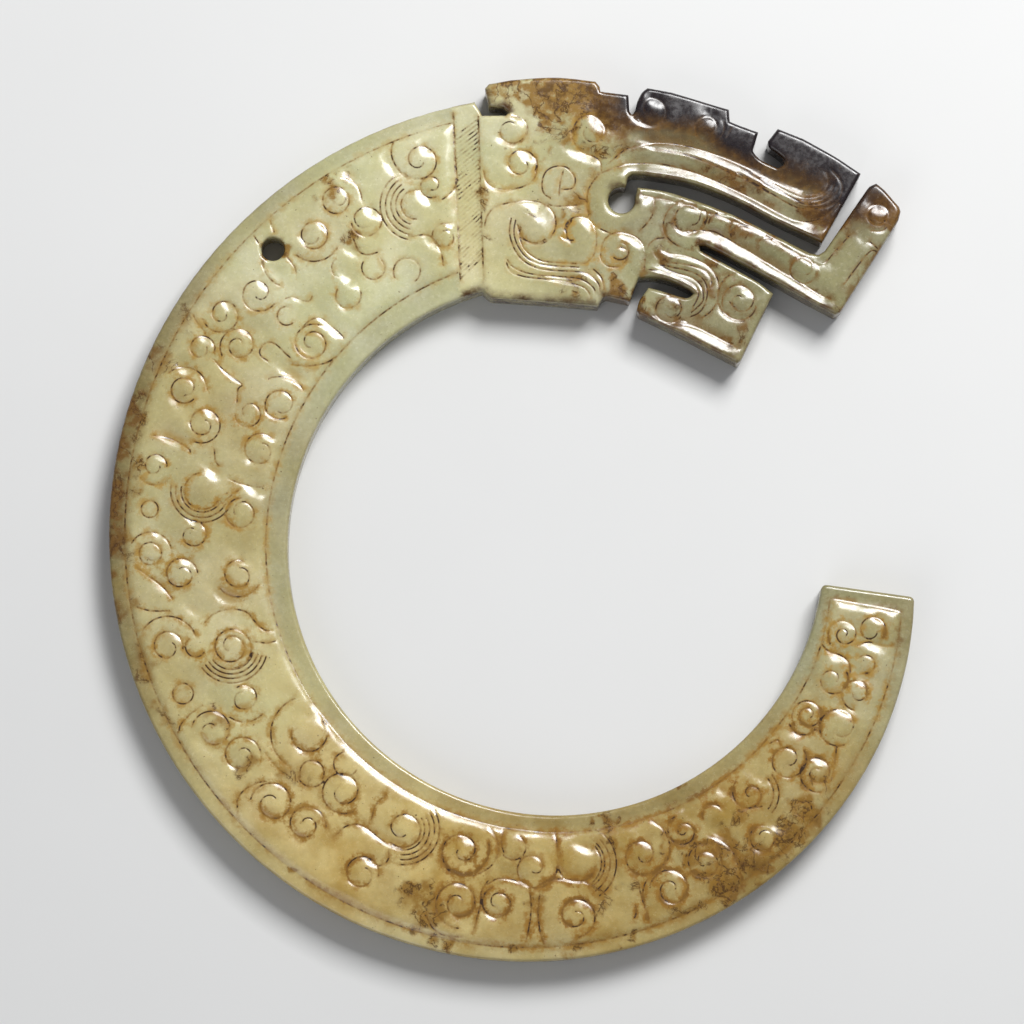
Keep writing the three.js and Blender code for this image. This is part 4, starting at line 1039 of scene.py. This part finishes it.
# Stains of the body: angle round the ring, distance out, radius and strength.
BODY_STAINS = [
    (162, 20.2, 3.0, 0.6), (168, 20.2, 3.4, 0.85), (174, 20.2, 3.4, 0.75), (180, 20.2, 3.2, 0.8),
    (188, 19.0, 2.4, 0.5), (196, 18.4, 2.2, 0.45), (155, 19.4, 2.2, 0.4), (148, 18.6, 1.8, 0.3),
    (203, 17.4, 1.8, 0.35), (231, 17.0, 1.2, 0.9), (248, 11.6, 2.4, 0.6), (251, 13.4, 2.2, 0.65),
    (255, 16.2, 1.6, 0.75), (263, 15.6, 1.2, 0.6), (272, 15.0, 1.4, 0.65), (281, 14.4, 1.3, 0.6),
    (280, 1.2, 1.2, 0.95), (280.5, 2.7, 0.9, 0.8), (298.6, 0.6, 0.9, 0.9), (258, 0.4, 0.7, 0.7),
    (289, 12.6, 1.8, 0.5), (296, 11.6, 2.6, 0.75), (302, 11.4, 2.8, 0.85), (308, 11.4, 2.6, 0.8),
    (313.5, 10.8, 2.2, 0.7), (299, 8.0, 2.2, 0.65), (294, 7.0, 1.8, 0.55), (303, 6.6, 1.8, 0.5),
    (289, 4.4, 1.4, 0.5), (124, 12.2, 1.6, 0.6), (122.6, 17.4, 1.5, 0.6), (119.6, 18.4, 1.0, 0.5),
    (133.45, 16.2, 2.0, 1.0), (215.5, 13.0, 1.8, 0.4), (222, 8.8, 1.5, 0.4), (207, 12.4, 1.6, 0.4),
    (318, 9.3, 1.6, 0.5), (278, 9.0, 2.4, 0.4), (267, 9.6, 2.0, 0.45), (284, 8.6, 1.8, 0.4),
]
# The same on the head: centre, radius and strength.
HEAD_STAINS = [
    (-6.0, 51.6, 2.2, 0.55), (-2.9, 51.6, 1.4, 0.95), (-1.2, 48.9, 1.2, 0.9), (0.6, 52.4, 4.6, 1.0),
    (4.6, 51.2, 5.2, 0.95), (7.4, 48.8, 4.4, 0.6), (7.8, 46.4, 2.8, 0.5), (-1.6, 47.2, 1.6, 0.5),
    (1.6, 48.8, 2.2, 0.55), (20.0, 41.6, 2.4, 0.65), (23.0, 40.2, 1.8, 0.6), (16.6, 43.2, 1.4, 0.4),
    (28.6, 38.0, 2.0, 0.8), (31.4, 37.4, 2.8, 1.0), (32.6, 39.6, 2.6, 1.0), (29.6, 34.6, 1.6, 0.8),
    (36.8, 39.8, 4.4, 1.3), (38.0, 37.4, 3.0, 1.15), (35.2, 37.6, 2.0, 0.7), (32.2, 27.4, 1.4, 0.6),
    (28.4, 29.0, 1.4, 0.4), (21.0, 36.4, 1.8, 0.5), (24.6, 35.4, 1.4, 0.45), (12.6, 27.6, 1.8, 0.4),
    (14.4, 25.2, 1.8, 0.4), (18.6, 22.6, 1.8, 0.5), (21.4, 24.0, 1.6, 0.45), (9.8, 27.6, 1.5, 0.75),
    (7.3, 28.4, 1.8, 0.75), (2.0, 28.2, 1.8, 0.5), (12.2, 33.6, 1.8, 0.55), (16.4, 30.0, 1.6, 0.5),
    (17.4, 33.6, 1.8, 0.6), (-7.4, 40.0, 1.2, 0.45), (-7.6, 35.0, 1.0, 0.4), (2.0, 39.2, 1.8, 0.5),
    (13.2, 36.2, 1.5, 0.5), (3.8, 42.0, 1.5, 0.45), (3.0, 37.4, 1.4, 0.45), (0.4, 37.6, 1.0, 0.45),
    (1.0, 46.6, 1.8, 0.5), (-1.2, 44.8, 1.2, 0.4), (4.6, 44.6, 1.5, 0.45), (-5.6, 44.2, 1.0, 0.35),
]
# Burnt-black tops of the second and third crest flanges: the lines that they darken from.
DARK_CRESTS = [
    [(9.6, 51.6), (13, 51.5), (16, 50.6), (19.6, 49.5), (20.4, 48.0), (22.9, 47.0)],
    [(24.6, 47.0), (28, 46.2), (31.5, 44.2), (34.5, 42.3), (33.2, 40.2)],
]
# The gap between the snout and the lower jaw: the jaw beyond it is less burnt.
SNOUT_GAP, SNOUT_GAP_EASE = [(34.8, 41.4), (30.0, 33.9)], (-0.2, 0.2)
JAW_SPARED, CREST_RAGGED, CREST_NOISE_SIZE = 1.2, 3.0, 2.2
# How honey-coloured the stone is, by angle on the body.
WARM_ANGLES = [100, 135, 160, 190, 212, 235, 300, 318, 335, 350]
WARM_SHARES = [0.1, 0.1, 0.4, 0.45, 0.5, 0.85, 1.0, 0.85, 0.4, 0.3]
HEAD_WARMTH, BORDER_COOLING, WARMTH_VARIES, WARMTH_NOISE_SIZE = 0.17, 0.2, 0.5, 9.0
# How light the stone is, its own tone with painted light that falls off towards the tail and towards the
# jaw: by angle on the body, by distance to the right on the head.
LIGHT_ANGLES = [100, 130, 150, 170, 195, 215, 240, 262, 282, 302, 322, 340, 352]
TONE_AND_FALLOFF_SHARES = [0.94, 0.9, 0.82, 0.74, 0.86, 1.0, 0.93, 0.78, 0.66, 0.62, 0.74, 0.64, 0.6]
LIGHT_PLACES = [-9, -2, 5, 12, 22, 38]
HEAD_TONE_AND_FALLOFF_SHARES = [0.94, 0.76, 0.56, 0.41, 0.34, 0.34]
# The inner border's darkening is painted shade. The outer border's darkening below is painted shade too,
# and comes with its own browner colour.
INNER_BORDER_PAINTED_SHADE, BORDER_BLEND, LIGHT_VARIES, LIGHT_NOISE_SIZE = 0.2, 1.2, 0.3, 5.0
OUTER_SHADE_ANGLES = [120, 160, 190, 215, 250, 275, 300, 350]
OUTER_BROWN_AND_SHADES = [0.2, 0.48, 0.48, 0.2, 0.0, 0.0, 0.1, 0.2]
STAIN_WARP, STAIN_NOISE_SIZE, STAIN_OCTAVES, STAIN_EASE = 5.0, 1.6, 5, (1.2, 0.1)
# How much brown has gathered beside the lines, and how much brown and painted shade in the hollows: by
# angle on the body, by distance to the right on the head.
SOIL_ANGLES = [100, 130, 160, 185, 215, 240, 270, 300, 318, 335, 350]
SOIL_AND_SHADE_SHARES = [0.55, 0.55, 0.75, 0.8, 0.8, 0.9, 1.1, 1.2, 1.05, 1.0, 0.95]
SOIL_PLACES = [-9, 0, 6, 12, 38]
HEAD_SOIL_AND_SHADE_SHARES = [0.5, 0.7, 0.8, 0.62, 0.62]
# Browned walls and edges, partly dirt and partly painted shade: reach and slope of the painted shade on
# the strips under edges that face away from the key lamp, the browned rim, and the shares of the body and
# the back.
SHADE_UNDER_EDGE_EASE, AWAY_FROM_LAMP_EASE = (1.1, 0.3), (0.0, 0.5)
RIM_BROWN_AND_SHADE, RIM_BROWN_AND_SHADE_EASE, BODY_WALL = 0.6, (0.3, 0.0), 0.45
HOLLOW_EASE, WALL_LINE_GAP, BACK_RESIDUE_LOSS, BACK_HALO_LOSS = (0.06, 0.36), 2.0, 0.6, 0.5


def stains(places):
    """How strongly the stone is stained brown, in ragged patches round the places listed."""
    spots = [(*on_body(a, out), *stain) for a, out, *stain in BODY_STAINS] + HEAD_STAINS
    noises = [clouds(places, STAIN_NOISE_SIZE, seed, STAIN_OCTAVES) for seed in STAIN_SEEDS]
    moved = places + STAIN_WARP * (np.stack(noises, axis=-1) - 0.5)
    most = np.zeros(len(places))
    for x, y, radius, strength in spots:
        gap = np.hypot(moved[:, 0] - x, moved[:, 1] - y) / radius
        most = np.maximum(most, strength * ease(*STAIN_EASE, gap))
    return most


def soil_and_shade(places):
    """How much brown has gathered beside the lines, and brown with painted shade in the hollows."""
    body = np.interp(angle_round(places), SOIL_ANGLES, SOIL_AND_SHADE_SHARES)
    head = np.interp(places[:, 0], SOIL_PLACES, HEAD_SOIL_AND_SHADE_SHARES)
    return np.where(on_head(places), head, body)


def painted_shade_under_edge(places):
    """Painted shade: 1 on the strips of the head that slope down to an edge facing away from the light, 0
    elsewhere.
    """
    point, gap = find_edge(places)
    away = (EDGE_POINTS[point] - places) @ polar(SHOULDER_FACING + 180, 1.0)
    turned = ease(*AWAY_FROM_LAMP_EASE, away / np.maximum(gap, TINY))
    return ease(*SHADE_UNDER_EDGE_EASE, gap) * turned * on_head(places)


def from_dark_crest(places):
    """Ragged distance from the blackened crest tops."""
    find = nearest(np.vstack([smooth(line) for line in DARK_CRESTS]))
    spared = JAW_SPARED * ease(*SNOUT_GAP_EASE, right_of(places, SNOUT_GAP)) * on_head(places)
    ragged = CREST_RAGGED * (clouds(places, CREST_NOISE_SIZE, CREST_SEED) - 0.5)
    return find(places)[1] + ragged + spared


def on_outer_half(places):
    return np.hypot(*places.T) > (INNER_RADIUS + outer_radius(angle_round(places))) / 2


def outer_brown_and_shade(places):
    """How much browner the outer border is than the field, its own colour, and how much darker, painted
    shade.
    """
    return np.interp(angle_round(places), OUTER_SHADE_ANGLES, OUTER_BROWN_AND_SHADES) * on_outer_half(places)


def warmth(places):
    """How honey-coloured the stone is, from 0 to 1."""
    by_angle = np.interp(angle_round(places), WARM_ANGLES, WARM_SHARES)
    border = 1 - field_share(places, -BORDER_BLEND, BORDER_BLEND)
    by_angle = by_angle + (outer_brown_and_shade(places) - BORDER_COOLING) * border
    share = np.where(on_head(places), HEAD_WARMTH, by_angle)
    varied = WARMTH_VARIES * (clouds(places, WARMTH_NOISE_SIZE, WARM_SEED) - 0.5)
    return np.clip(share + varied, 0, 1)


def tone_and_painted_light(places):
    """How light the stone is, from 0 to 1: its own tone, with painted light falloff and painted shade on
    the borders.
    """
    body = np.interp(angle_round(places), LIGHT_ANGLES, TONE_AND_FALLOFF_SHARES)
    # Painted shade on the plain borders.
    shade = np.where(on_outer_half(places), outer_brown_and_shade(places), INNER_BORDER_PAINTED_SHADE)
    body = body - shade * (1 - field_share(places, -BORDER_BLEND, BORDER_BLEND))
    head = np.interp(places[:, 0], LIGHT_PLACES, HEAD_TONE_AND_FALLOFF_SHARES)
    varied = LIGHT_VARIES * (clouds(places, LIGHT_NOISE_SIZE, LIGHT_SEED) - 0.5)
    return np.clip(np.where(on_head(places), head, body) + varied, 0, 1)


def stone_values(flat, on_wall, on_back):
    """The values that the stone reads, each one a number for every point of the mesh."""
    line, gap = find_any(flat)
    in_front = (1 - on_wall) * (1 - on_back)
    # Walls and rim browned, partly dirt and partly painted shade; then painted shade under the edges that
    # face away from the key lamp.
    edge = np.maximum(on_wall, RIM_BROWN_AND_SHADE * ease(*RIM_BROWN_AND_SHADE_EASE, find_edge(flat)[1]))
    edge = np.maximum(edge, painted_shade_under_edge(flat) * (1 - on_back))
    return {
        "line_gap": np.where(on_back > 0, find_back(flat)[1], gap) + WALL_LINE_GAP * on_wall,
        "residue": line_residue[line] * (1 - BACK_RESIDUE_LOSS * on_back),
        "halo": line_halo[line] * (1 - on_wall) * (1 - BACK_HALO_LOSS * on_back),
        # hollow: how deep the ground is cut, for brown and painted shade in the recesses.
        "hollow": ease(*HOLLOW_EASE, from_grid(RELIEF_CUT, flat)) * in_front,
        # soil: how much brown gathers beside the lines, also scaling the painted shade in the hollows.
        "soil_and_shade": soil_and_shade(flat),
        "stain": stains(flat),
        "from_dark": from_dark_crest(flat),
        "warm": warmth(flat),
        # light: the stone's tone with painted light falloff and painted shade on the borders.
        "light": tone_and_painted_light(flat),
        # wall: brown on the walls and edges, partly dirt and partly painted shade, with painted shade
        # under the head's edges that face away from the key lamp.
        "wall": edge * np.where(on_head(flat), 1.0, BODY_WALL),
    }


def pendant():
    """The carved piece, placed on the frame's solid, and how far that moves it from the layout frame."""
    places, faces, front_count, wall_from = carved_mesh()
    low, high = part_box("dragon_pendant")
    middle = (RIM.min(axis=0) + RIM.max(axis=0)) / 2
    shift = np.array([(low.x + high.x) / 2, (low.y + high.y) / 2]) / MM - middle
    placed = (places + [*shift, 0]) * MM
    mesh = bpy.data.meshes.new("carved_pendant")
    mesh.from_pydata(placed.tolist(), [], faces)
    mesh.polygons.foreach_set("use_smooth", np.ones(len(mesh.polygons), bool))
    index = np.arange(len(places))
    on_wall = (index >= wall_from).astype(float)
    on_back = ((index >= front_count) & (index < wall_from)).astype(float)
    for name, values in stone_values(places[:, :2], on_wall, on_back).items():
        attribute = mesh.attributes.new(name, "FLOAT", "POINT")
        attribute.data.foreach_set("value", values.astype(np.float32))
    mesh.validate()
    piece = bpy.data.objects.new("carved_pendant", mesh)
    bpy.context.scene.collection.objects.link(piece)
    return piece, shift


# Places of the colour sockets on a mix node.
MIX_FIRST, MIX_SECOND, MIX_RESULT = 6, 7, 2


class Stone:
    """A node material put together by short calls, its colour laid layer over layer."""

    def __init__(self, name):
        self.colour = None
        self.material = bpy.data.materials.new(name)
        self.material.use_nodes = True
        self.tree = self.material.node_tree
        self.shader = self.tree.nodes["Principled BSDF"]
        self.coordinates = self.tree.nodes.new("ShaderNodeTexCoord").outputs["Object"]

    def put(self, socket, value):
        if isinstance(value, bpy.types.NodeSocket):
            self.tree.links.new(value, socket)
        else:
            socket.default_value = value

    def value(self, name):
        attribute = self.tree.nodes.new("ShaderNodeAttribute")
        attribute.attribute_name = name
        return attribute.outputs["Fac"]

    def noise(self, size, detail=4.0, roughness=0.55, distortion=0.0):
        node = self.tree.nodes.new("ShaderNodeTexNoise")
        self.put(node.inputs["Vector"], self.coordinates)
        node.inputs["Scale"].default_value = 1 / (size * MM)
        node.inputs["Detail"].default_value = detail
        node.inputs["Roughness"].default_value = roughness
        node.inputs["Distortion"].default_value = distortion
        return node.outputs["Fac"]

    def ease(self, value, low, high, low_value=0.0, high_value=1.0):
        node = self.tree.nodes.new("ShaderNodeMapRange")
        node.interpolation_type = "SMOOTHSTEP"
        for socket, given in zip(node.inputs, (value, low, high, low_value, high_value)):
            self.put(socket, given)
        return node.outputs["Result"]

    def math(self, operation, first, second):
        """A sum, product or the like, held between 0 and 1."""
        node = self.tree.nodes.new("ShaderNodeMath")
        node.operation = operation
        node.use_clamp = True
        self.put(node.inputs[0], first)
        self.put(node.inputs[1], second)
        return node.outputs["Value"]

    def mix(self, share, first, second):
        node = self.tree.nodes.new("ShaderNodeMix")
        node.data_type = "RGBA"
        self.put(node.inputs["Factor"], share)
        self.put(node.inputs[MIX_FIRST], first)
        self.put(node.inputs[MIX_SECOND], second)
        return node.outputs[MIX_RESULT]

    def times(self, first, *others):
        for other in others:
            first = self.math("MULTIPLY", first, other)
        return first

    def cover(self, share, colour):
        """Lays a colour over the ones laid before."""
        self.colour = self.mix(share, self.colour, colour)


CELADON = (0.54, 0.53, 0.29, 1)
MILK = (0.68, 0.67, 0.48, 1)
HONEY = (0.61, 0.46, 0.17, 1)
DARK_HONEY = (0.42, 0.25, 0.035, 1)
# The stone's dark tone, also used as painted shade.
DEEP_JADE_AND_SHADE = (0.075, 0.062, 0.018, 1)
TAN = (0.42, 0.26, 0.05, 1)
AMBER = (0.28, 0.135, 0.014, 1)
RUST = (0.25, 0.13, 0.016, 1)
SIENNA = (0.19, 0.09, 0.014, 1)
UMBER = (0.15, 0.07, 0.01, 1)
BROWN = (0.07, 0.028, 0.003, 1)
SOOT = (0.012, 0.007, 0.008, 1)
RESIDUE = (0.035, 0.016, 0.006, 1)


# The stone's layers. A noise is its size in millimetres, then its detail, roughness and distortion.
# A range is two values, then what the layer has at them: 0 and 1 where nothing else is given.
CLOUD_NOISE, MILKY = (7.0,), (0.4, 0.66, 0.0, 0.55)
HONEY_NOISE, HONEY_DARKENED = (5.0, 6.0), (0.4, 0.66, 0.0, 0.8)
SPECKLE_NOISE, SPECKLED = (0.5, 6.0, 0.7), (0.3, 0.7, -0.06, 0.06)
FINE_NOISE, BROAD_NOISE = (0.9, 7.0, 0.65), (4.5, 3.0)
HALO_RAGGED, HALO_REACH, HOLLOW_BROWN_AND_SHADE_SHARE = (0.35, 0.7, 0.0, 0.8), (1.3, 0.08), 0.7
BROAD_PATCHES, DARK_OR_SHADED_STONE = (0.32, 0.6, 0.4, 1.0), (0.62, 0.42)
BROWNED, BROWNED_DEEP = (0.0, 0.75, 0.0, 0.95), (0.75, 1.15, 0.0, 0.85)
DEEP_RAGGED, STAIN_RAGGED = (0.3, 0.7, 0.0, 0.4), (0.3, 0.62, 0.45, 1.3)
STAINED, STAINED_DEEP = (0.05, 0.6, 0.0, 0.92), (0.65, 1.15, 0.0, 0.9)
STAIN_NOISE, STAIN_PATCHES = (1.8, 6.0), (0.4, 0.6)
VEIN_NOISE, VEINED = (2.6, 5.0, 0.6, 0.4), (0.05, 0.4, 0.0, 0.9)
VEIN_SIDES = [(0.47, 0.5), (0.53, 0.5)]
WALL_NOISE, WALL_PATCHES = (2.4, 8.0, 0.7), (0.35, 0.65, 0.2, 1.0)
DUSK, DUSK_PATCHES, BURNT = (7.4, 3.6, 0.0, 0.97), (0.35, 0.58), (5.2, 2.0)
DASH_NOISE, RESIDUE_SHARE = (0.7, 3.0), 0.16
RUN_NOISE, RUNS = (2.6, 2.0), (0.36, 0.62, -0.1, 0.06)
STROKE_REACH, STROKE_BROKEN = (0.17, 0.03), (0.4, 0.64, 0.1, 0.75)
STROKE_HALO, STROKE_BURNT = (0.0, 0.6, 0.1, 1.0), (2.5, 6.0, 0.15, 1.0)
DASH_REACH, DASHED, DASH_SHARE = (0.11, 0.03), (0.61, 0.69), 0.95
PIT_NOISE, PITTED = (0.4, 2.0), (0.71, 0.76, 0.0, 0.7)
GLOSS_NOISE, GLOSS, DULLED = (0.6, 8.0, 0.7), (0.3, 0.7, 0.13, 0.31), (4.5, 1.5, 0.0, 0.05)
REFRACTION = 1.62
GLOW_WEIGHT, GLOW_RADIUS, GLOW_SCALE = 0.25, (1.0, 0.8, 0.45), 1.0


def jade():
    """The stone: pale body with painted light falloff, gathered brown with painted shade in the hollows,
    stains, walls browned partly with painted shade, burnt crests, lines and pits.
    """
    stone = Stone("jade")
    warm, light, line_gap, halo, stain, from_dark = (
        stone.value(name) for name in ("warm", "light", "line_gap", "halo", "stain", "from_dark"))
    pale = stone.mix(stone.ease(stone.noise(*CLOUD_NOISE), *MILKY), CELADON, MILK)
    honey = stone.mix(stone.ease(stone.noise(*HONEY_NOISE), *HONEY_DARKENED), HONEY, DARK_HONEY)
    # The light value, the stone's tone with painted light falloff and painted border shade, mixes the
    # pale stone towards a deep colour that is both its dark tone and painted shade.
    lit = stone.math("ADD", light, stone.ease(stone.noise(*SPECKLE_NOISE), *SPECKLED))
    stone.colour = stone.mix(lit, DEEP_JADE_AND_SHADE, stone.mix(warm, pale, honey))
    fine, broad = stone.noise(*FINE_NOISE), stone.noise(*BROAD_NOISE)
    in_dark_or_shaded_stone = stone.ease(light, *DARK_OR_SHADED_STONE)
    # Brown that gathers beside the lines, and in the hollows brown with painted recess shade.
    ragged = stone.math("ADD", line_gap, stone.ease(fine, *HALO_RAGGED))
    glow = stone.times(stone.ease(ragged, *HALO_REACH), halo)
    gathered_brown_and_shade = stone.math("MAXIMUM", glow, stone.times(stone.value("hollow"), HOLLOW_BROWN_AND_SHADE_SHARE))
    gathered_brown_and_shade = stone.times(gathered_brown_and_shade, stone.value("soil_and_shade"), stone.ease(broad, *BROAD_PATCHES))
    brown = stone.mix(in_dark_or_shaded_stone, stone.mix(warm, TAN, AMBER), UMBER)
    stone.cover(stone.ease(gathered_brown_and_shade, *BROWNED), brown)
    deep = stone.math("ADD", gathered_brown_and_shade, stone.ease(fine, *DEEP_RAGGED))
    stone.cover(stone.ease(deep, *BROWNED_DEEP), UMBER)
    # Stains in ragged patches with veins.
    patchy = stone.times(stain, stone.ease(fine, *STAIN_RAGGED))
    stone.cover(stone.ease(patchy, *STAINED), stone.mix(in_dark_or_shaded_stone, RUST, UMBER))
    dark_brown = stone.mix(stone.ease(stone.noise(*STAIN_NOISE), *STAIN_PATCHES), UMBER, BROWN)
    stone.cover(stone.ease(patchy, *STAINED_DEEP), dark_brown)
    winding = stone.noise(*VEIN_NOISE)
    vein = stone.times(*(stone.ease(winding, *side) for side in VEIN_SIDES))
    stone.cover(stone.times(vein, stone.ease(stain, *VEINED)), BROWN)
    # Walls and edges browned, partly dirt and partly painted shade, with wholly painted shade on the
    # head's strips under edges that face away from the key lamp; then the burnt crests.
    wall_patches = stone.ease(stone.noise(*WALL_NOISE), *WALL_PATCHES)
    stone.cover(stone.times(stone.value("wall"), wall_patches), BROWN)
    dusky = stone.mix(stone.ease(fine, *DUSK_PATCHES), UMBER, BROWN)
    stone.cover(stone.ease(from_dark, *DUSK), dusky)
    stone.cover(stone.ease(from_dark, *BURNT), SOOT)
    # The incised lines: browned all along, with broken dark residue.
    held = stone.times(stone.value("residue"), RESIDUE_SHARE)
    broken = stone.math("ADD", stone.noise(*DASH_NOISE), held)
    broken = stone.math("ADD", broken, stone.ease(stone.noise(*RUN_NOISE), *RUNS))
    stroke = stone.times(stone.ease(line_gap, *STROKE_REACH), stone.ease(broken, *STROKE_BROKEN))
    stroke = stone.times(stroke, stone.ease(halo, *STROKE_HALO), stone.ease(from_dark, *STROKE_BURNT))
    stone.cover(stroke, SIENNA)
    dashes = stone.times(stone.ease(line_gap, *DASH_REACH), stone.ease(broken, *DASHED), DASH_SHARE)
    stone.cover(dashes, RESIDUE)
    stone.cover(stone.ease(stone.noise(*PIT_NOISE), *PITTED), BROWN)
    stone.put(stone.shader.inputs["Base Color"], stone.colour)
    gloss = stone.ease(stone.noise(*GLOSS_NOISE), *GLOSS)
    rough = stone.math("ADD", gloss, stone.ease(from_dark, *DULLED))
    stone.put(stone.shader.inputs["Roughness"], rough)
    stone.shader.inputs["IOR"].default_value = REFRACTION
    stone.shader.inputs["Subsurface Weight"].default_value = GLOW_WEIGHT
    stone.shader.inputs["Subsurface Radius"].default_value = GLOW_RADIUS
    stone.shader.inputs["Subsurface Scale"].default_value = GLOW_SCALE * MM
    return stone.material


FLOOR_HALF, FLOOR_GAP = 600.0, 0.02
FLOOR_TONES = [(0.66, 0.66, 0.65, 1), (0.70, 0.70, 0.69, 1)]
FLOOR_NOISE_SIZE, FLOOR_ROUGHNESS = 40.0, 0.9


def pale_floor(low):
    mesh = bpy.data.meshes.new("floor")
    half = FLOOR_HALF * MM
    mesh.from_pydata([(-half, -half, low), (half, -half, low), (half, half, low), (-half, half, low)],
                     [], [(0, 1, 2, 3)])
    floor = bpy.data.objects.new("floor", mesh)
    bpy.context.scene.collection.objects.link(floor)
    matt = Stone("pale_floor")
    tone = matt.mix(matt.noise(FLOOR_NOISE_SIZE), *FLOOR_TONES)
    matt.put(matt.shader.inputs["Base Color"], tone)
    matt.shader.inputs["Roughness"].default_value = FLOOR_ROUGHNESS
    mesh.materials.append(matt.material)
    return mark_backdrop(floor)


def toward(azimuth, elevation):
    """Unit direction from the object: azimuth from +X, elevation above the floor, in degrees."""
    a, e = math.radians(azimuth), math.radians(elevation)
    return Vector((math.cos(a) * math.cos(e), math.sin(a) * math.cos(e), math.sin(e)))


def looking(name, data, aim, azimuth, elevation, distance):
    """A camera or lamp that looks at the aim from a direction and a distance."""
    thing = bpy.data.objects.new(name, data)
    thing.location = aim + toward(azimuth, elevation) * distance
    thing.rotation_euler = (aim - thing.location).to_track_quat("-Z", "Y").to_euler()
    bpy.context.scene.collection.objects.link(thing)
    return thing


# The photograph's frame: where its centre falls on the front, how wide it is, and the viewing angle.
PHOTO_CENTRE = (-4.91, 3.9)
PHOTO_WIDTH = 114.5
VIEW_AZIMUTH, VIEW_ELEVATION = -90.0, 84.5
LENS, SENSOR, NEAREST_SEEN = 200.0, 36.0, 10.0
# Lamps: azimuth, elevation, distance and size in metres, and power in watts.
LAMPS = {"key": (60, 50, 0.5, 0.21, 2.95), "fill": (235, 40, 0.6, 0.4, 0.58)}
SKY_COLOUR, SKY_STRENGTH = (0.9, 0.93, 1.0, 1), 0.24


def studio(shift):
    """The photograph's camera, two soft lamps and a pale sky."""
    scene = bpy.context.scene
    aim = Vector((*((np.array(PHOTO_CENTRE) + shift) * MM), BORDER_CROWN * MM))
    camera = bpy.data.cameras.new("camera")
    camera.lens, camera.sensor_width = LENS, SENSOR
    camera.clip_start = NEAREST_SEEN * MM
    distance = PHOTO_WIDTH * MM * LENS / SENSOR
    scene.camera = looking("camera", camera, aim, VIEW_AZIMUTH, VIEW_ELEVATION, distance)
    for name, (azimuth, elevation, distance, size, power) in LAMPS.items():
        light = bpy.data.lights.new(name, "AREA")
        light.shape = "SQUARE"
        light.size = size
        light.energy = power
        looking(name, light, aim, azimuth, elevation, distance)
    world = bpy.data.worlds.new("studio")
    scene.world = world
    world.use_nodes = True
    background = world.node_tree.nodes["Background"]
    background.inputs["Color"].default_value = SKY_COLOUR
    background.inputs["Strength"].default_value = SKY_STRENGTH
    scene.view_settings.view_transform = "Standard"


carved, layout_shift = pendant()
carved.data.materials.append(jade())
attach(carved, "root")
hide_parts("dragon_pendant")
pale_floor(CAD_BOX[0].z - FLOOR_GAP * MM)
studio(layout_shift)
